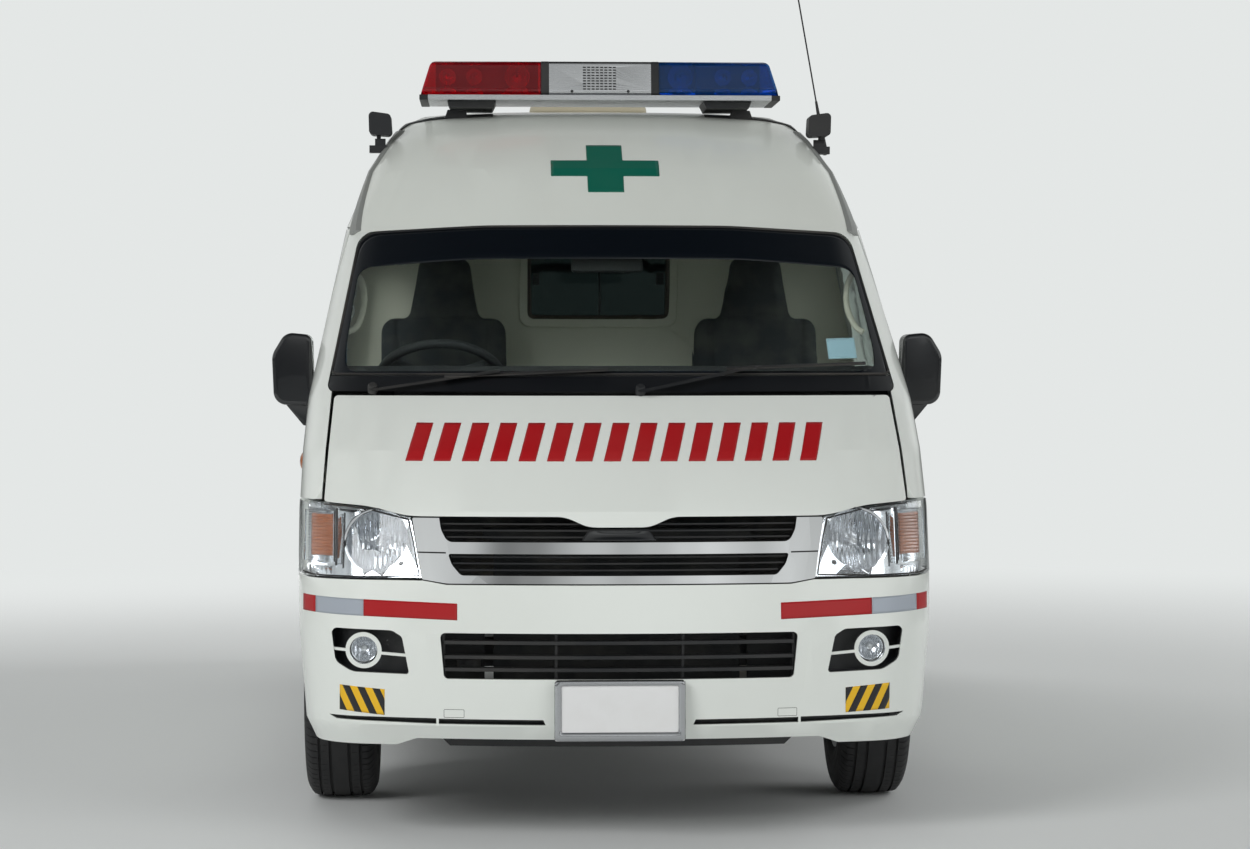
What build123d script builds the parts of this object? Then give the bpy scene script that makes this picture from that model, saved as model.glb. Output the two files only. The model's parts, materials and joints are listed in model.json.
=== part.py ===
"""High-roof van ambulance: millimetres, x to the vehicle's left, y to its rear, z up from the ground.

A place along the vehicle is given as a distance behind the front bumper; back() turns it into y.
"""
from build123d import *
from collections import namedtuple
from math import hypot, radians, sin, sqrt, tan
import os

os.makedirs("parts", exist_ok=True)

# Driving dimensions
LENGTH = 5380
HALF_WIDTH = 943
ROOF_HEIGHT = 2270
WHEELBASE = 3110
FRONT_AXLE = 1125
TRACK = 1630
TYRE_RADIUS = 343
TYRE_WIDTH = 215
RIM_RADIUS = 190
RIM_WIDTH = 196
WALL = 38
MOULDING = 14
GLASS = 5
GAP = 8
SILL_HEIGHT = 345
FLOOR_TOP = 640
FLOOR_PLATE = 30
PLATFORM_TOP = 830
ARCH_LIP = 390
BODY_SPLIT = 1745
GUTTER_HEIGHT = 2100
SEAT_SPACING = 1020
KINGPIN = 775
STUB_RADIUS = 22
LIGHT_BAR_LENGTH = 1180

REAR_AXLE = FRONT_AXLE + WHEELBASE
AXLE_HEIGHT = TYRE_RADIUS
SIDES = ((1, "left"), (-1, "right"))


def back(distance):
    """Return the y value of a distance behind the front bumper."""
    return distance - LENGTH / 2


# Body envelope: plan sections from the sill to the roof's crown. Each row holds the section's height,
# how far its nose lies behind the bumper, how far its front corner and its side lie inside the widest
# half width, the radius of its bow and of its corner, and how far its tail lies ahead of the length.
Level = namedtuple("Level", "height setback nose_in side_in bow corner tail_in")
LEVELS = [
    Level(262, 90, 93, 18, 2600, 200, 80),
    Level(340, 35, 58, 9, 2600, 240, 70),
    Level(600, 0, 38, 1, 2600, 260, 65),
    Level(735, 20, 35, 0, 2600, 260, 65),
    Level(935, 85, 35, 5, 2600, 260, 65),
    Level(1100, 205, 38, 17, 2550, 250, 67),
    Level(1245, 370, 45, 35, 2500, 240, 70),
    Level(1770, 1040, 129, 121, 2200, 170, 120),
    Level(ROOF_HEIGHT - 310, 1270, 198, 193, 2200, 170, 145),
    Level(ROOF_HEIGHT - 200, 1455, 257, 250, 2200, 165, 168),
    Level(ROOF_HEIGHT - 140, 1590, 298, 290, 2200, 155, 190),
    Level(ROOF_HEIGHT - 105, 1730, 352, 342, 2200, 150, 215),
    Level(ROOF_HEIGHT - 75, 2030, 460, 448, 1900, 125, 255),
    Level(ROOF_HEIGHT - 35, 2530, 640, 625, 1100, 85, 340),
    Level(ROOF_HEIGHT, 3050, 893, 873, 500, 30, 430),
]


def inset_line(points, inset):
    """Return the shift of each point that moves an open line inward by the inset."""
    shifts = []
    for i, here in enumerate(points):
        normals = []
        for a, b in ((i - 1, i), (i, i + 1)):
            if a >= 0 and b < len(points):
                run, rise = points[b][0] - points[a][0], points[b][1] - points[a][1]
                normals.append((rise / hypot(run, rise), -run / hypot(run, rise)))
        nx = sum(n[0] for n in normals) / len(normals)
        nz = sum(n[1] for n in normals) / len(normals)
        scale = inset / (nx * nx + nz * nz)
        shifts.append((nx * scale, nz * scale))
    return shifts


def plan_section(height, setback, nose_half, side_half, bow, corner, tail):
    """Return one plan section: a bowed nose, round corners, sides that widen and a square tail."""
    nose = back(setback)
    end = LENGTH / 2 - tail
    wide_at = max(back(1650), nose + 600)
    tail_corner = min(100, side_half * 0.6)
    centre = nose + bow
    corner_x = nose_half - corner
    corner_y = centre - sqrt((bow - corner) ** 2 - corner_x ** 2)
    reach = bow / (bow - corner)
    tangent = (corner_x * reach, centre + (corner_y - centre) * reach)
    lean = ((tangent[0] - corner_x) / corner + 1, (tangent[1] - corner_y) / corner)
    middle = (corner_x + corner * lean[0] / hypot(*lean), corner_y + corner * lean[1] / hypot(*lean))
    inner = tail_corner * (1 - sqrt(0.5))
    with BuildSketch(Plane.XY.offset(height)) as section:
        with BuildLine():
            ThreePointArc((-tangent[0], tangent[1]), (0, nose), tangent)
            ThreePointArc(tangent, middle, (nose_half, corner_y))
            Line((nose_half, corner_y), (side_half, wide_at))
            Line((side_half, wide_at), (side_half, end - tail_corner))
            ThreePointArc((side_half, end - tail_corner), (side_half - inner, end - inner),
                          (side_half - tail_corner, end))
            Line((side_half - tail_corner, end), (-side_half + tail_corner, end))
            ThreePointArc((-side_half + tail_corner, end), (-side_half + inner, end - inner),
                          (-side_half, end - tail_corner))
            Line((-side_half, end - tail_corner), (-side_half, wide_at))
            Line((-side_half, wide_at), (-nose_half, corner_y))
            ThreePointArc((-nose_half, corner_y), (-middle[0], middle[1]), (-tangent[0], tangent[1]))
        make_face()
    return section.sketch.face()


def envelope(inset):
    """Return the body's outer form as one solid, moved inward by the inset."""
    noses = [(row.setback, row.height) for row in LEVELS]
    sides = [(row.side_in, row.height) for row in LEVELS]
    nose_shifts = inset_line(noses, inset)
    side_shifts = inset_line(sides, inset)
    line = [(d + s[0], z + s[1]) for (d, z), s in zip(noses, nose_shifts)]
    sections = []
    for row, shift in zip(LEVELS, side_shifts):
        height = row.height + shift[1]
        setback = line[0][0] if height < line[0][1] else line[-1][0]
        for (d0, z0), (d1, z1) in zip(line, line[1:]):
            if z0 <= height <= z1:
                setback = d0 + (d1 - d0) * (height - z0) / (z1 - z0)
        nose_half = HALF_WIDTH - row.nose_in - shift[0]
        side_half = HALF_WIDTH - row.side_in - shift[0]
        corner = max(min(row.corner - inset, nose_half * 0.6), 15)
        if nose_half > 25:
            sections.append(plan_section(height, setback, nose_half, side_half, row.bow, corner,
                                         row.tail_in + inset))
    with BuildPart() as form:
        loft(sections=sections, ruled=True)
    return form.part


def profile(points, radius=0):
    """Return the flat face in a closed line; radius rounds each corner, or is a list with one for each."""
    radii = radius if isinstance(radius, list) else [radius] * len(points)
    stops = []
    for i, (here, r) in enumerate(zip(points, radii)):
        corner = Vector(*here)
        to_last = (Vector(*points[i - 1]) - corner).normalized()
        to_next = (Vector(*points[(i + 1) % len(points)]) - corner).normalized()
        half = radians(to_last.get_angle(to_next) / 2)
        reach = r / tan(half)
        middle = corner + (to_last + to_next).normalized() * (r / sin(half) - r)
        stops.append((corner + to_last * reach, middle, corner + to_next * reach))
    with BuildSketch() as sketch:
        with BuildLine():
            for r, (start, middle, end), following in zip(radii, stops, stops[1:] + stops[:1]):
                if r:
                    ThreePointArc(start, middle, end)
                Line(end, following[0])
        make_face()
    return sketch.sketch.face()


def side_prism(points, radius, x0, x1):
    """Return a prism with this outline in side view, (distance, height), from x0 to x1."""
    with BuildPart() as prism:
        with BuildSketch(Plane.YZ.offset(min(x0, x1))):
            add(profile([(back(d), z) for d, z in points], radius))
        extrude(amount=abs(x1 - x0))
    return prism.part


def front_prism(points, radius, d0, d1):
    """Return a prism with this outline in front view, (x, height), between two distances."""
    with BuildPart() as prism:
        with BuildSketch(Plane.XZ.offset(-back(d1))):
            add(profile(points, radius))
        extrude(amount=d1 - d0)
    return prism.part


def plan_prism(points, radius, z0, z1):
    """Return a prism with this outline in plan, (x, distance), between two heights."""
    with BuildPart() as prism:
        with BuildSketch(Plane.XY.offset(z0)):
            add(profile([(x, back(d)) for x, d in points], radius))
        extrude(amount=z1 - z0)
    return prism.part


def box_at(x0, x1, d0, d1, z0, z1, mode=Mode.ADD):
    """Make a box between two x values, two distances and two heights."""
    with Locations(((x0 + x1) / 2, back((d0 + d1) / 2), (z0 + z1) / 2)):
        Box(abs(x1 - x0), d1 - d0, z1 - z0, mode=mode)


def rod_x(radius, x0, x1, d, z, mode=Mode.ADD):
    """Make a cylinder along x."""
    with Locations(((x0 + x1) / 2, back(d), z)):
        Cylinder(radius, abs(x1 - x0), rotation=(0, 90, 0), mode=mode)


def rod_y(radius, x, d0, d1, z, mode=Mode.ADD):
    """Make a cylinder along y."""
    with Locations((x, back((d0 + d1) / 2), z)):
        Cylinder(radius, d1 - d0, rotation=(90, 0, 0), mode=mode)


def rod_z(radius, x, d, z0, z1, mode=Mode.ADD):
    """Make an upright cylinder."""
    with Locations((x, back(d), (z0 + z1) / 2)):
        Cylinder(radius, z1 - z0, mode=mode)


def save(part, name):
    """Label a part and write it."""
    part.label = name
    export_step(part, "parts/" + name + ".step")


def grown(points, by):
    """Return a closed outline with each of its sides moved outward by a distance."""
    pairs = list(zip(points, points[1:] + points[:1]))
    turn = 1 if sum(a[0] * b[1] - b[0] * a[1] for a, b in pairs) > 0 else -1
    moved = []
    for i, here in enumerate(points):
        normals = []
        for a, b in ((points[i - 1], here), (here, points[(i + 1) % len(points)])):
            run, rise = b[0] - a[0], b[1] - a[1]
            normals.append((turn * rise / hypot(run, rise), -turn * run / hypot(run, rise)))
        share = by / (1 + normals[0][0] * normals[1][0] + normals[0][1] * normals[1][1])
        moved.append((here[0] + share * (normals[0][0] + normals[1][0]),
                      here[1] + share * (normals[0][1] + normals[1][1])))
    return moved


FORMS = {}


def form(inset):
    """Return the envelope at an inset, built once."""
    if inset not in FORMS:
        FORMS[inset] = envelope(inset)
    return FORMS[inset]


def between(prism, outside, inside):
    """Return what a prism holds of the shell between two insets of the envelope."""
    with BuildPart() as piece:
        add(prism)
        add(form(outside), mode=Mode.INTERSECT)
        add(form(inside), mode=Mode.SUBTRACT)
    return piece.part


# Insets of the shells that the body's pieces are cut from
PANE_OUT = 4
PANE_IN = PANE_OUT + GLASS
ROOM = WALL + 4

# Outlines in side view, as (distance behind the bumper, height)
DOOR = [(668, 808), (668, 1120), (690, 1225), (1245, 1766), (1702, 1766), (1702, 378), (1582, 378),
        (1560, 520), (1490, 660), (1370, 775), (1270, 808)]
DOOR_WINDOW = [(835, 1214), (1292, 1708), (1652, 1708), (1652, 1214)]
SLIDING_DOOR = [(1764, 372), (1764, 1806), (2960, 1806), (2960, 372)]
Window = namedtuple("Window", "side outline")
SIDE_WINDOWS = [
    Window(1, [(1905, 1196), (1905, 1690), (2815, 1690), (2815, 1196)]),
    Window(1, [(3060, 1196), (3060, 1690), (4040, 1690), (4040, 1196)]),
    Window(1, [(4150, 1196), (4150, 1690), (5080, 1690), (5110, 1196)]),
    Window(-1, [(1840, 1196), (1840, 1690), (2935, 1690), (2935, 1196)]),
    Window(-1, [(3060, 1196), (3060, 1690), (4040, 1690), (4040, 1196)]),
    Window(-1, [(4150, 1196), (4150, 1690), (5080, 1690), (5110, 1196)]),
]
GUTTER = [(300, 1748), (1180, 1752), (1680, GUTTER_HEIGHT), (LENGTH, GUTTER_HEIGHT)]

# Outlines in front view, as (x, height)
FRONT_OPENING = [(-838, 1264), (838, 1264), (766, 1752), (380, 1771), (-380, 1771), (-766, 1752)]
OPENING_RADII = [22, 22, 60, 1500, 1500, 60]
SCREEN = [(-831, 1312), (831, 1312)] + FRONT_OPENING[2:]
SCREEN_RADII = [8, 8] + OPENING_RADII[2:]
BONNET = [(-829, 957), (-700, 948), (-588, 921), (-150, 921), (-86, 892), (86, 892), (150, 921), (588, 921),
          (700, 948), (829, 957), (813, 1254), (-813, 1254)]
BONNET_RADII = [8, 400, 300, 110, 110, 110, 110, 300, 400, 8, 12, 12]
PARTITION_WINDOW = [(-232, 1490), (232, 1490), (232, 1704), (-232, 1704)]
TAILGATE = [(-750, 628), (750, 628), (700, 2048), (-700, 2048)]
REAR_WINDOW = [(-610, 1200), (610, 1200), (560, 1760), (-560, 1760)]

with BuildPart() as arches:
    rod_x(ARCH_LIP, -1200, 1200, FRONT_AXLE, AXLE_HEIGHT)
    rod_x(ARCH_LIP, -1200, 1200, REAR_AXLE, AXLE_HEIGHT)

with BuildPart() as door_opening:
    add(side_prism(grown(DOOR, GAP), 26, 500, 1100))
    rod_x(ARCH_LIP + 44, 400, 1200, FRONT_AXLE, AXLE_HEIGHT, mode=Mode.SUBTRACT)

# Cab frame: pillars, cowl, header, wings and sills, open for the doors, the screen and the bonnet
with BuildPart() as cab_half:
    add(side_prism([(300, SILL_HEIGHT)] + GUTTER[:3] +
                   [(BODY_SPLIT, GUTTER_HEIGHT), (BODY_SPLIT, SILL_HEIGHT)], 0, 0, 1100))
    add(side_prism([(0, 0), (0, 755), (718, 755), (718, 0)], 0, 0, 1100), mode=Mode.SUBTRACT)
    add(side_prism([(0, 700), (0, 962), (486, 962), (470, 700)], 0, 0, 1100), mode=Mode.SUBTRACT)
    add(front_prism([(-10, 700), (837, 700), (837, 960), (821, 1290), (-10, 1290)], 0, 0, 660),
        mode=Mode.SUBTRACT)
    add(front_prism(grown(FRONT_OPENING, 1), OPENING_RADII, 350, 1300), mode=Mode.SUBTRACT)
    add(door_opening.part, mode=Mode.SUBTRACT)
    add(arches.part, mode=Mode.SUBTRACT)
cab_side = between(cab_half.part, 0, WALL)
save(cab_side + mirror(cab_side, about=Plane.YZ), "cab_frame")

# Load-space sides, each with its rear corner; the right one is made on the left and turned over
DOOR_SIDE_WINDOWS = [row.outline for row in SIDE_WINDOWS if row.side > 0]
PLAIN_SIDE_WINDOWS = [row.outline for row in SIDE_WINDOWS if row.side < 0]
with BuildPart() as side_blank:
    add(side_prism([(BODY_SPLIT, SILL_HEIGHT), (BODY_SPLIT, GUTTER_HEIGHT), (LENGTH, GUTTER_HEIGHT),
                    (LENGTH, SILL_HEIGHT)], 0, 0, 1100))
    add(front_prism([(-10, 618), (758, 618), (708, 2056), (-10, 2056)], 0, 5000, LENGTH + 50),
        mode=Mode.SUBTRACT)
    add(front_prism([(770, 950), (1000, 950), (1000, 1360), (752, 1360)], 0, 5190, LENGTH + 50),
        mode=Mode.SUBTRACT)
    add(side_prism([(5085, 200), (5085, 618), (LENGTH + 50, 618), (LENGTH + 50, 200)], 0, 0, 1100),
        mode=Mode.SUBTRACT)
    add(arches.part, mode=Mode.SUBTRACT)

with BuildPart() as left_blank:
    add(side_blank.part)
    for outline in DOOR_SIDE_WINDOWS:
        add(side_prism(grown(outline, 1), 60, 500, 1100), mode=Mode.SUBTRACT)
    add(side_prism(grown(SLIDING_DOOR, 5), 30, 500, 1100), mode=Mode.SUBTRACT)
    box_at(HALF_WIDTH - 30, HALF_WIDTH + 20, 2965, 4450, 1040, 1066, mode=Mode.SUBTRACT)
save(between(left_blank.part, 0, WALL), "side_panel_left")

with BuildPart() as right_blank:
    add(side_blank.part)
    for outline in PLAIN_SIDE_WINDOWS:
        add(side_prism(grown(outline, 1), 60, 500, 1100), mode=Mode.SUBTRACT)
save(mirror(between(right_blank.part, 0, WALL), about=Plane.YZ), "side_panel_right")

# Sliding door with its handle pocket
with BuildPart() as sliding_blank:
    add(side_prism(SLIDING_DOOR, 25, 500, 1100))
    add(side_prism(grown(DOOR_SIDE_WINDOWS[0], 1), 60, 500, 1100), mode=Mode.SUBTRACT)
    box_at(HALF_WIDTH - 34, HALF_WIDTH + 20, 1800, 1930, 1000, 1075, mode=Mode.SUBTRACT)
with BuildPart() as sliding_door:
    add(between(sliding_blank.part, 0.5, WALL + 0.5))
    box_at(HALF_WIDTH - 36, HALF_WIDTH - 16, 1830, 1900, 1005, 1070)
save(sliding_door.part, "sliding_door")

# High roof, its brow over the screen and the ventilator's low dome
with BuildPart() as roof_blank:
    add(side_prism(GUTTER + [(LENGTH, 2600), (300, 2600)], 0, -1100, 1100))
    add(front_prism(grown(FRONT_OPENING, 1), OPENING_RADII, 350, 1300), mode=Mode.SUBTRACT)
with BuildPart() as high_roof:
    add(between(roof_blank.part, 0, WALL))
    with BuildSketch(Plane.XY.offset(ROOF_HEIGHT - 28)):
        with Locations((0, back(3050))):
            RectangleRounded(420, 420, 60)
    extrude(amount=50, taper=28)
save(high_roof.part, "high_roof")

# Drip rails along the seam between the sides and the high roof
RAIL_HALF = 7
RAIL_END = 5175
rail_line = [GUTTER[1], GUTTER[2], (RAIL_END, GUTTER_HEIGHT)]
upper = [(d - RAIL_HALF / 2, z + RAIL_HALF) for d, z in rail_line]
lower = [(d + RAIL_HALF / 2, z - RAIL_HALF) for d, z in rail_line]
save(between(side_prism(upper + lower[::-1], 0, -1100, 1100), -9, -0.4), "drip_rails")

# Glass
with BuildPart() as windscreen:
    add(between(front_prism(SCREEN, SCREEN_RADII, 350, 1300), PANE_OUT, PANE_IN))
save(windscreen.part, "windscreen")

window_parts = []
for window in SIDE_WINDOWS:
    glass = between(side_prism(window.outline, 60, 500, 1100), PANE_OUT, PANE_IN)
    window_parts.append(glass if window.side > 0 else mirror(glass, about=Plane.YZ))
partition_pane = front_prism(PARTITION_WINDOW, 24, 1800, 1806)
save(Part() + window_parts + [partition_pane], "side_windows")

# Black cowl panel between the screen and the bonnet
with BuildPart() as cowl:
    add(between(front_prism([(-836, 1266), (836, 1266), (829, 1310), (-829, 1310)], [18, 18, 4, 4], 350, 760),
                1, 16))
save(cowl.part, "cowl_panel")

# Front doors, their windows and mirrors
PANE_RADIUS = 38
with BuildPart() as door_blank:
    add(side_prism(DOOR, 22, 500, 1100))
    add(side_prism(grown(DOOR_WINDOW, 1.5), PANE_RADIUS, 500, 1100), mode=Mode.SUBTRACT)
    box_at(HALF_WIDTH - 50, HALF_WIDTH + 20, 1520, 1650, 1010, 1085, mode=Mode.SUBTRACT)
with BuildPart() as front_door:
    add(between(door_blank.part, 0.5, WALL + 0.5))
    box_at(HALF_WIDTH - 62, HALF_WIDTH - 46, 1510, 1660, 1000, 1095)
    box_at(HALF_WIDTH - 46, HALF_WIDTH - 24, 1530, 1640, 1032, 1060)
door_window = between(side_prism(DOOR_WINDOW, PANE_RADIUS, 620, 1100), PANE_OUT, PANE_IN)
with BuildPart() as door_mirror:
    add(front_prism([(893, 1217), (1013, 1221), (1019, 1372), (978, 1440), (899, 1432)], [24, 40, 60, 40, 24],
                    864, 954))
    fillet(door_mirror.faces().sort_by(Axis.Y)[0].edges(), 12)
    add(front_prism([(870, 1150), (925, 1158), (985, 1230), (930, 1230), (870, 1196)], 0, 882, 924))
    add(form(0.5), mode=Mode.SUBTRACT)
door_pieces = [(front_door.part, "front_door"), (door_window, "door_window"), (door_mirror.part, "mirror")]
for made, name in door_pieces:
    save(mirror(made, about=Plane.YZ), name + "_right")
    save(made, name + "_left")

# Tailgate and its window
with BuildPart() as tailgate_blank:
    add(front_prism(TAILGATE, 28, 5000, LENGTH + 50))
    add(front_prism(grown(REAR_WINDOW, 1), 60, 5000, LENGTH + 50), mode=Mode.SUBTRACT)
with BuildPart() as tailgate:
    add(between(tailgate_blank.part, 0.5, WALL + 0.5))
    add(front_prism([(-270, 790), (270, 790), (270, 960), (-270, 960)], 20, LENGTH - 76, LENGTH + 50),
        mode=Mode.SUBTRACT)
save(tailgate.part, "tailgate")

with BuildPart() as rear_window:
    add(between(front_prism(REAR_WINDOW, 60, 5000, LENGTH + 50), PANE_OUT, PANE_IN))
save(rear_window.part, "rear_window")

# Tail lamps fill the rear corners
with BuildPart() as tail_lamps:
    add(between(front_prism([(776, 956), (1000, 956), (1000, 1354), (758, 1354)], 0, 5196, LENGTH + 50),
                -4, 30))
save(tail_lamps.part + mirror(tail_lamps.part, about=Plane.YZ), "tail_lamps")

# Bonnet, hinged along its top edge
with BuildPart() as bonnet:
    add(between(front_prism(BONNET, BONNET_RADII, 0, 680), 0.5, MOULDING))
save(bonnet.part, "bonnet")

# Front bumper with its air opening and slots, and the fog lamps' pockets, each with a ring on two bars
FOG = (712, 549)
FOG_POCKET = [(804, 611), (632, 607), (604, 590), (584, 484), (745, 488), (792, 515)]
FOG_RADII = [16, 30, 20, 8, 60, 30]
FOG_BARS = [(824, 557), (575, 540), (575, 532), (824, 549)]
FOG_RING = 51
FOG_LENS = 39
AIR_OPENING = [(-487, 473), (487, 473), (498, 602), (-498, 602)]
BUMPER_SLOTS = [
    [(-812, 363), (-509, 361), (-509, 345), (-790, 352)],
    [(-502, 360), (-212, 359), (-205, 344), (-502, 345)],
]
BUMPER_FACE = [(-1000, 296), (-840, 279), (-622, 280), (-565, 301), (565, 301), (622, 280), (840, 279),
               (1000, 296), (1000, 751), (860, 745), (545, 745), (480, 734), (-480, 734), (-545, 745),
               (-860, 745), (-1000, 751)]
with BuildPart() as bumper_blank:
    add(front_prism(BUMPER_FACE, 0, 0, 1200))
    add(side_prism([(-50, 200), (-50, 760), (712, 760), (712, 200)], 0, -1100, 1100), mode=Mode.INTERSECT)
    add(front_prism(AIR_OPENING, 14, -50, 400), mode=Mode.SUBTRACT)
    for side, name in SIDES:
        add(front_prism([(side * x, z) for x, z in FOG_POCKET], FOG_RADII, -50, 500), mode=Mode.SUBTRACT)
        for slot in BUMPER_SLOTS:
            add(front_prism([(side * x, z) for x, z in slot], 0, -50, 500), mode=Mode.SUBTRACT)
    rod_x(ARCH_LIP, -1200, 1200, FRONT_AXLE, AXLE_HEIGHT, mode=Mode.SUBTRACT)
with BuildPart() as fog_ring_blank:
    add(front_prism(FOG_BARS, 0, -50, 500))
    rod_y(FOG_RING, FOG[0], -50, 500, FOG[1])
    rod_y(FOG_LENS, FOG[0], -50, 500, FOG[1], mode=Mode.SUBTRACT)
fog_ring = between(fog_ring_blank.part, 4, MOULDING)
with BuildPart() as front_bumper:
    add(between(bumper_blank.part, 0, MOULDING))
    add(fog_ring)
    add(mirror(fog_ring, about=Plane.YZ))
save(front_bumper.part, "front_bumper")

# Black inserts: fog lamp pockets, the air opening's slats and posts, and the air guide under the bumper
POCKET_DEEP = 62
SLAT_HALF = 486
with BuildPart() as pocket_blank:
    add(front_prism(grown(FOG_POCKET, 8), 0, -50, 600))
    rod_y(FOG_LENS, FOG[0], -50, 600, FOG[1], mode=Mode.SUBTRACT)
with BuildPart() as fog_insert:
    add(between(pocket_blank.part, MOULDING + 1, POCKET_DEEP))
    add(between(front_prism(grown(FOG_POCKET, -1), 0, -50, 600), 0, POCKET_DEEP - 14), mode=Mode.SUBTRACT)
with BuildPart() as slat_blank:
    for z in (494, 529, 570):
        box_at(-SLAT_HALF, SLAT_HALF, -60, 400, z, z + 10)
slats = between(slat_blank.part, MOULDING - 8, MOULDING + 30)
with BuildPart() as post_blank:
    for x in (-SLAT_HALF - 6, -180, 172, SLAT_HALF - 2):
        box_at(x, x + 8, -60, 400, 468, 608)
posts = between(post_blank.part, MOULDING + 8, MOULDING + 34)
guide = between(front_prism([(-472, 272), (472, 272), (500, 300), (500, 330), (-500, 330), (-500, 300)],
                            0, 0, 400), 60, 66)
with BuildPart() as strut_blank:
    for x in (-380, -220, 214, 374):
        box_at(x, x + 6, -60, 400, 312, 330)
struts = between(strut_blank.part, MOULDING, 62)
save(fog_insert.part + mirror(fog_insert.part, about=Plane.YZ) + slats + posts + guide + struts, "bumper_inserts")

# Chrome grille: side pieces joined by a bar and a sill, open above the bar; black ribs and centre piece
GRILLE = [(-549, 749), (-480, 738), (480, 738), (549, 749), (577, 917), (150, 917), (86, 888), (-86, 888),
          (-150, 917), (-577, 917)]
GRILLE_RADII = [6, 100, 100, 6, 4, 100, 100, 100, 100, 4]
UPPER_OPENING = [(-478, 851), (478, 851), (496, 884), (508, 960), (-508, 960), (-496, 884)]
UPPER_RADII = [26, 26, 60, 0, 0, 60]
LOWER_OPENING = [(-440, 760), (440, 760), (466, 790), (476, 819), (-476, 819), (-466, 790)]
LOWER_RADII = [20, 20, 40, 5, 5, 40]
with BuildPart() as grille:
    add(between(front_prism(GRILLE, GRILLE_RADII, -60, 400), -2, 30))
    add(front_prism(UPPER_OPENING, UPPER_RADII, -60, 400), mode=Mode.SUBTRACT)
    add(front_prism(LOWER_OPENING, LOWER_RADII, -60, 400), mode=Mode.SUBTRACT)
save(grille.part, "grille")

with BuildPart() as rib_blank:
    for z, half in ((772, 445), (790, 462), (808, 468), (862, 480), (880, 490), (898, 494)):
        box_at(-half, half, -60, 420, z, z + 4)
ribs = between(rib_blank.part, 14, 27)
centre_piece = between(front_prism([(-106, 854), (106, 854), (84, 886), (-84, 886)], 6, -60, 300), 3, 12)
save(ribs + centre_piece, "grille_ribs")

# Headlamps: bowls with a round reflector and a corner pocket, and the clear covers
LAMP = [(551, 751), (582, 917), (700, 943), (829, 953), (1000, 957), (1000, 757), (860, 751)]
BEAM = (672, 846)
BEAM_RADIUS = 98
with BuildPart() as corner_pocket:
    add(front_prism([(788, 776), (788, 936), (1000, 942), (1000, 776)], 0, 100, 420))
    add(form(70), mode=Mode.SUBTRACT)
with BuildPart() as lamp_bowl:
    add(between(front_prism(LAMP, 0, 0, 462), 24, 150))
    with Locations((BEAM[0], back(205), BEAM[1])):
        Sphere(BEAM_RADIUS, mode=Mode.SUBTRACT)
    add(corner_pocket.part, mode=Mode.SUBTRACT)
bowl = lamp_bowl.part
save(bowl + mirror(bowl, about=Plane.YZ), "headlamp_bowls")

with BuildPart() as lamp_cover:
    add(between(front_prism(LAMP, 0, -60, 470), -1, 5))
with BuildPart() as fog_lens:
    rod_y(FOG_LENS - 1, FOG[0], 113, 165, FOG[1])
cover = lamp_cover.part + fog_lens.part
save(cover + mirror(cover, about=Plane.YZ), "lamp_covers")

# Front number plate, blank, on its bracket
with BuildPart() as number_plate:
    box_at(-179, 179, 3, 12, 305, 471)
    box_at(-163, 163, 0, 5, 330, 457, mode=Mode.SUBTRACT)
    box_at(-120, 120, 12, 60, 350, 440)
    add(form(-1), mode=Mode.SUBTRACT)
save(number_plate.part, "number_plate")

# Rear bumper, wrapped round the corners
with BuildPart() as rear_bumper:
    add(plan_prism([(-935, 5092), (-935, LENGTH), (935, LENGTH), (935, 5092)], 60, 335, 610))
    add(plan_prism([(-897, 5000), (-897, LENGTH - 62), (897, LENGTH - 62), (897, 5000)], 30, 300, 640),
        mode=Mode.SUBTRACT)
    box_at(-980, 980, 5000, 5092, 300, 640, mode=Mode.SUBTRACT)
    fillet(rear_bumper.faces().sort_by(Axis.Z)[-1].outer_wire().edges(), 14)
save(rear_bumper.part, "rear_bumper")

# Firewall between the cab and the engine bay's front
with BuildPart() as firewall:
    box_at(-940, 940, 500, 525, FLOOR_TOP, 1222)
    for side, name in SIDES:
        box_at(side * 700, side * 960, 490, 540, 1000, 1300, mode=Mode.SUBTRACT)
    add(form(ROOM), mode=Mode.INTERSECT)
save(firewall.part, "firewall")

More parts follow.
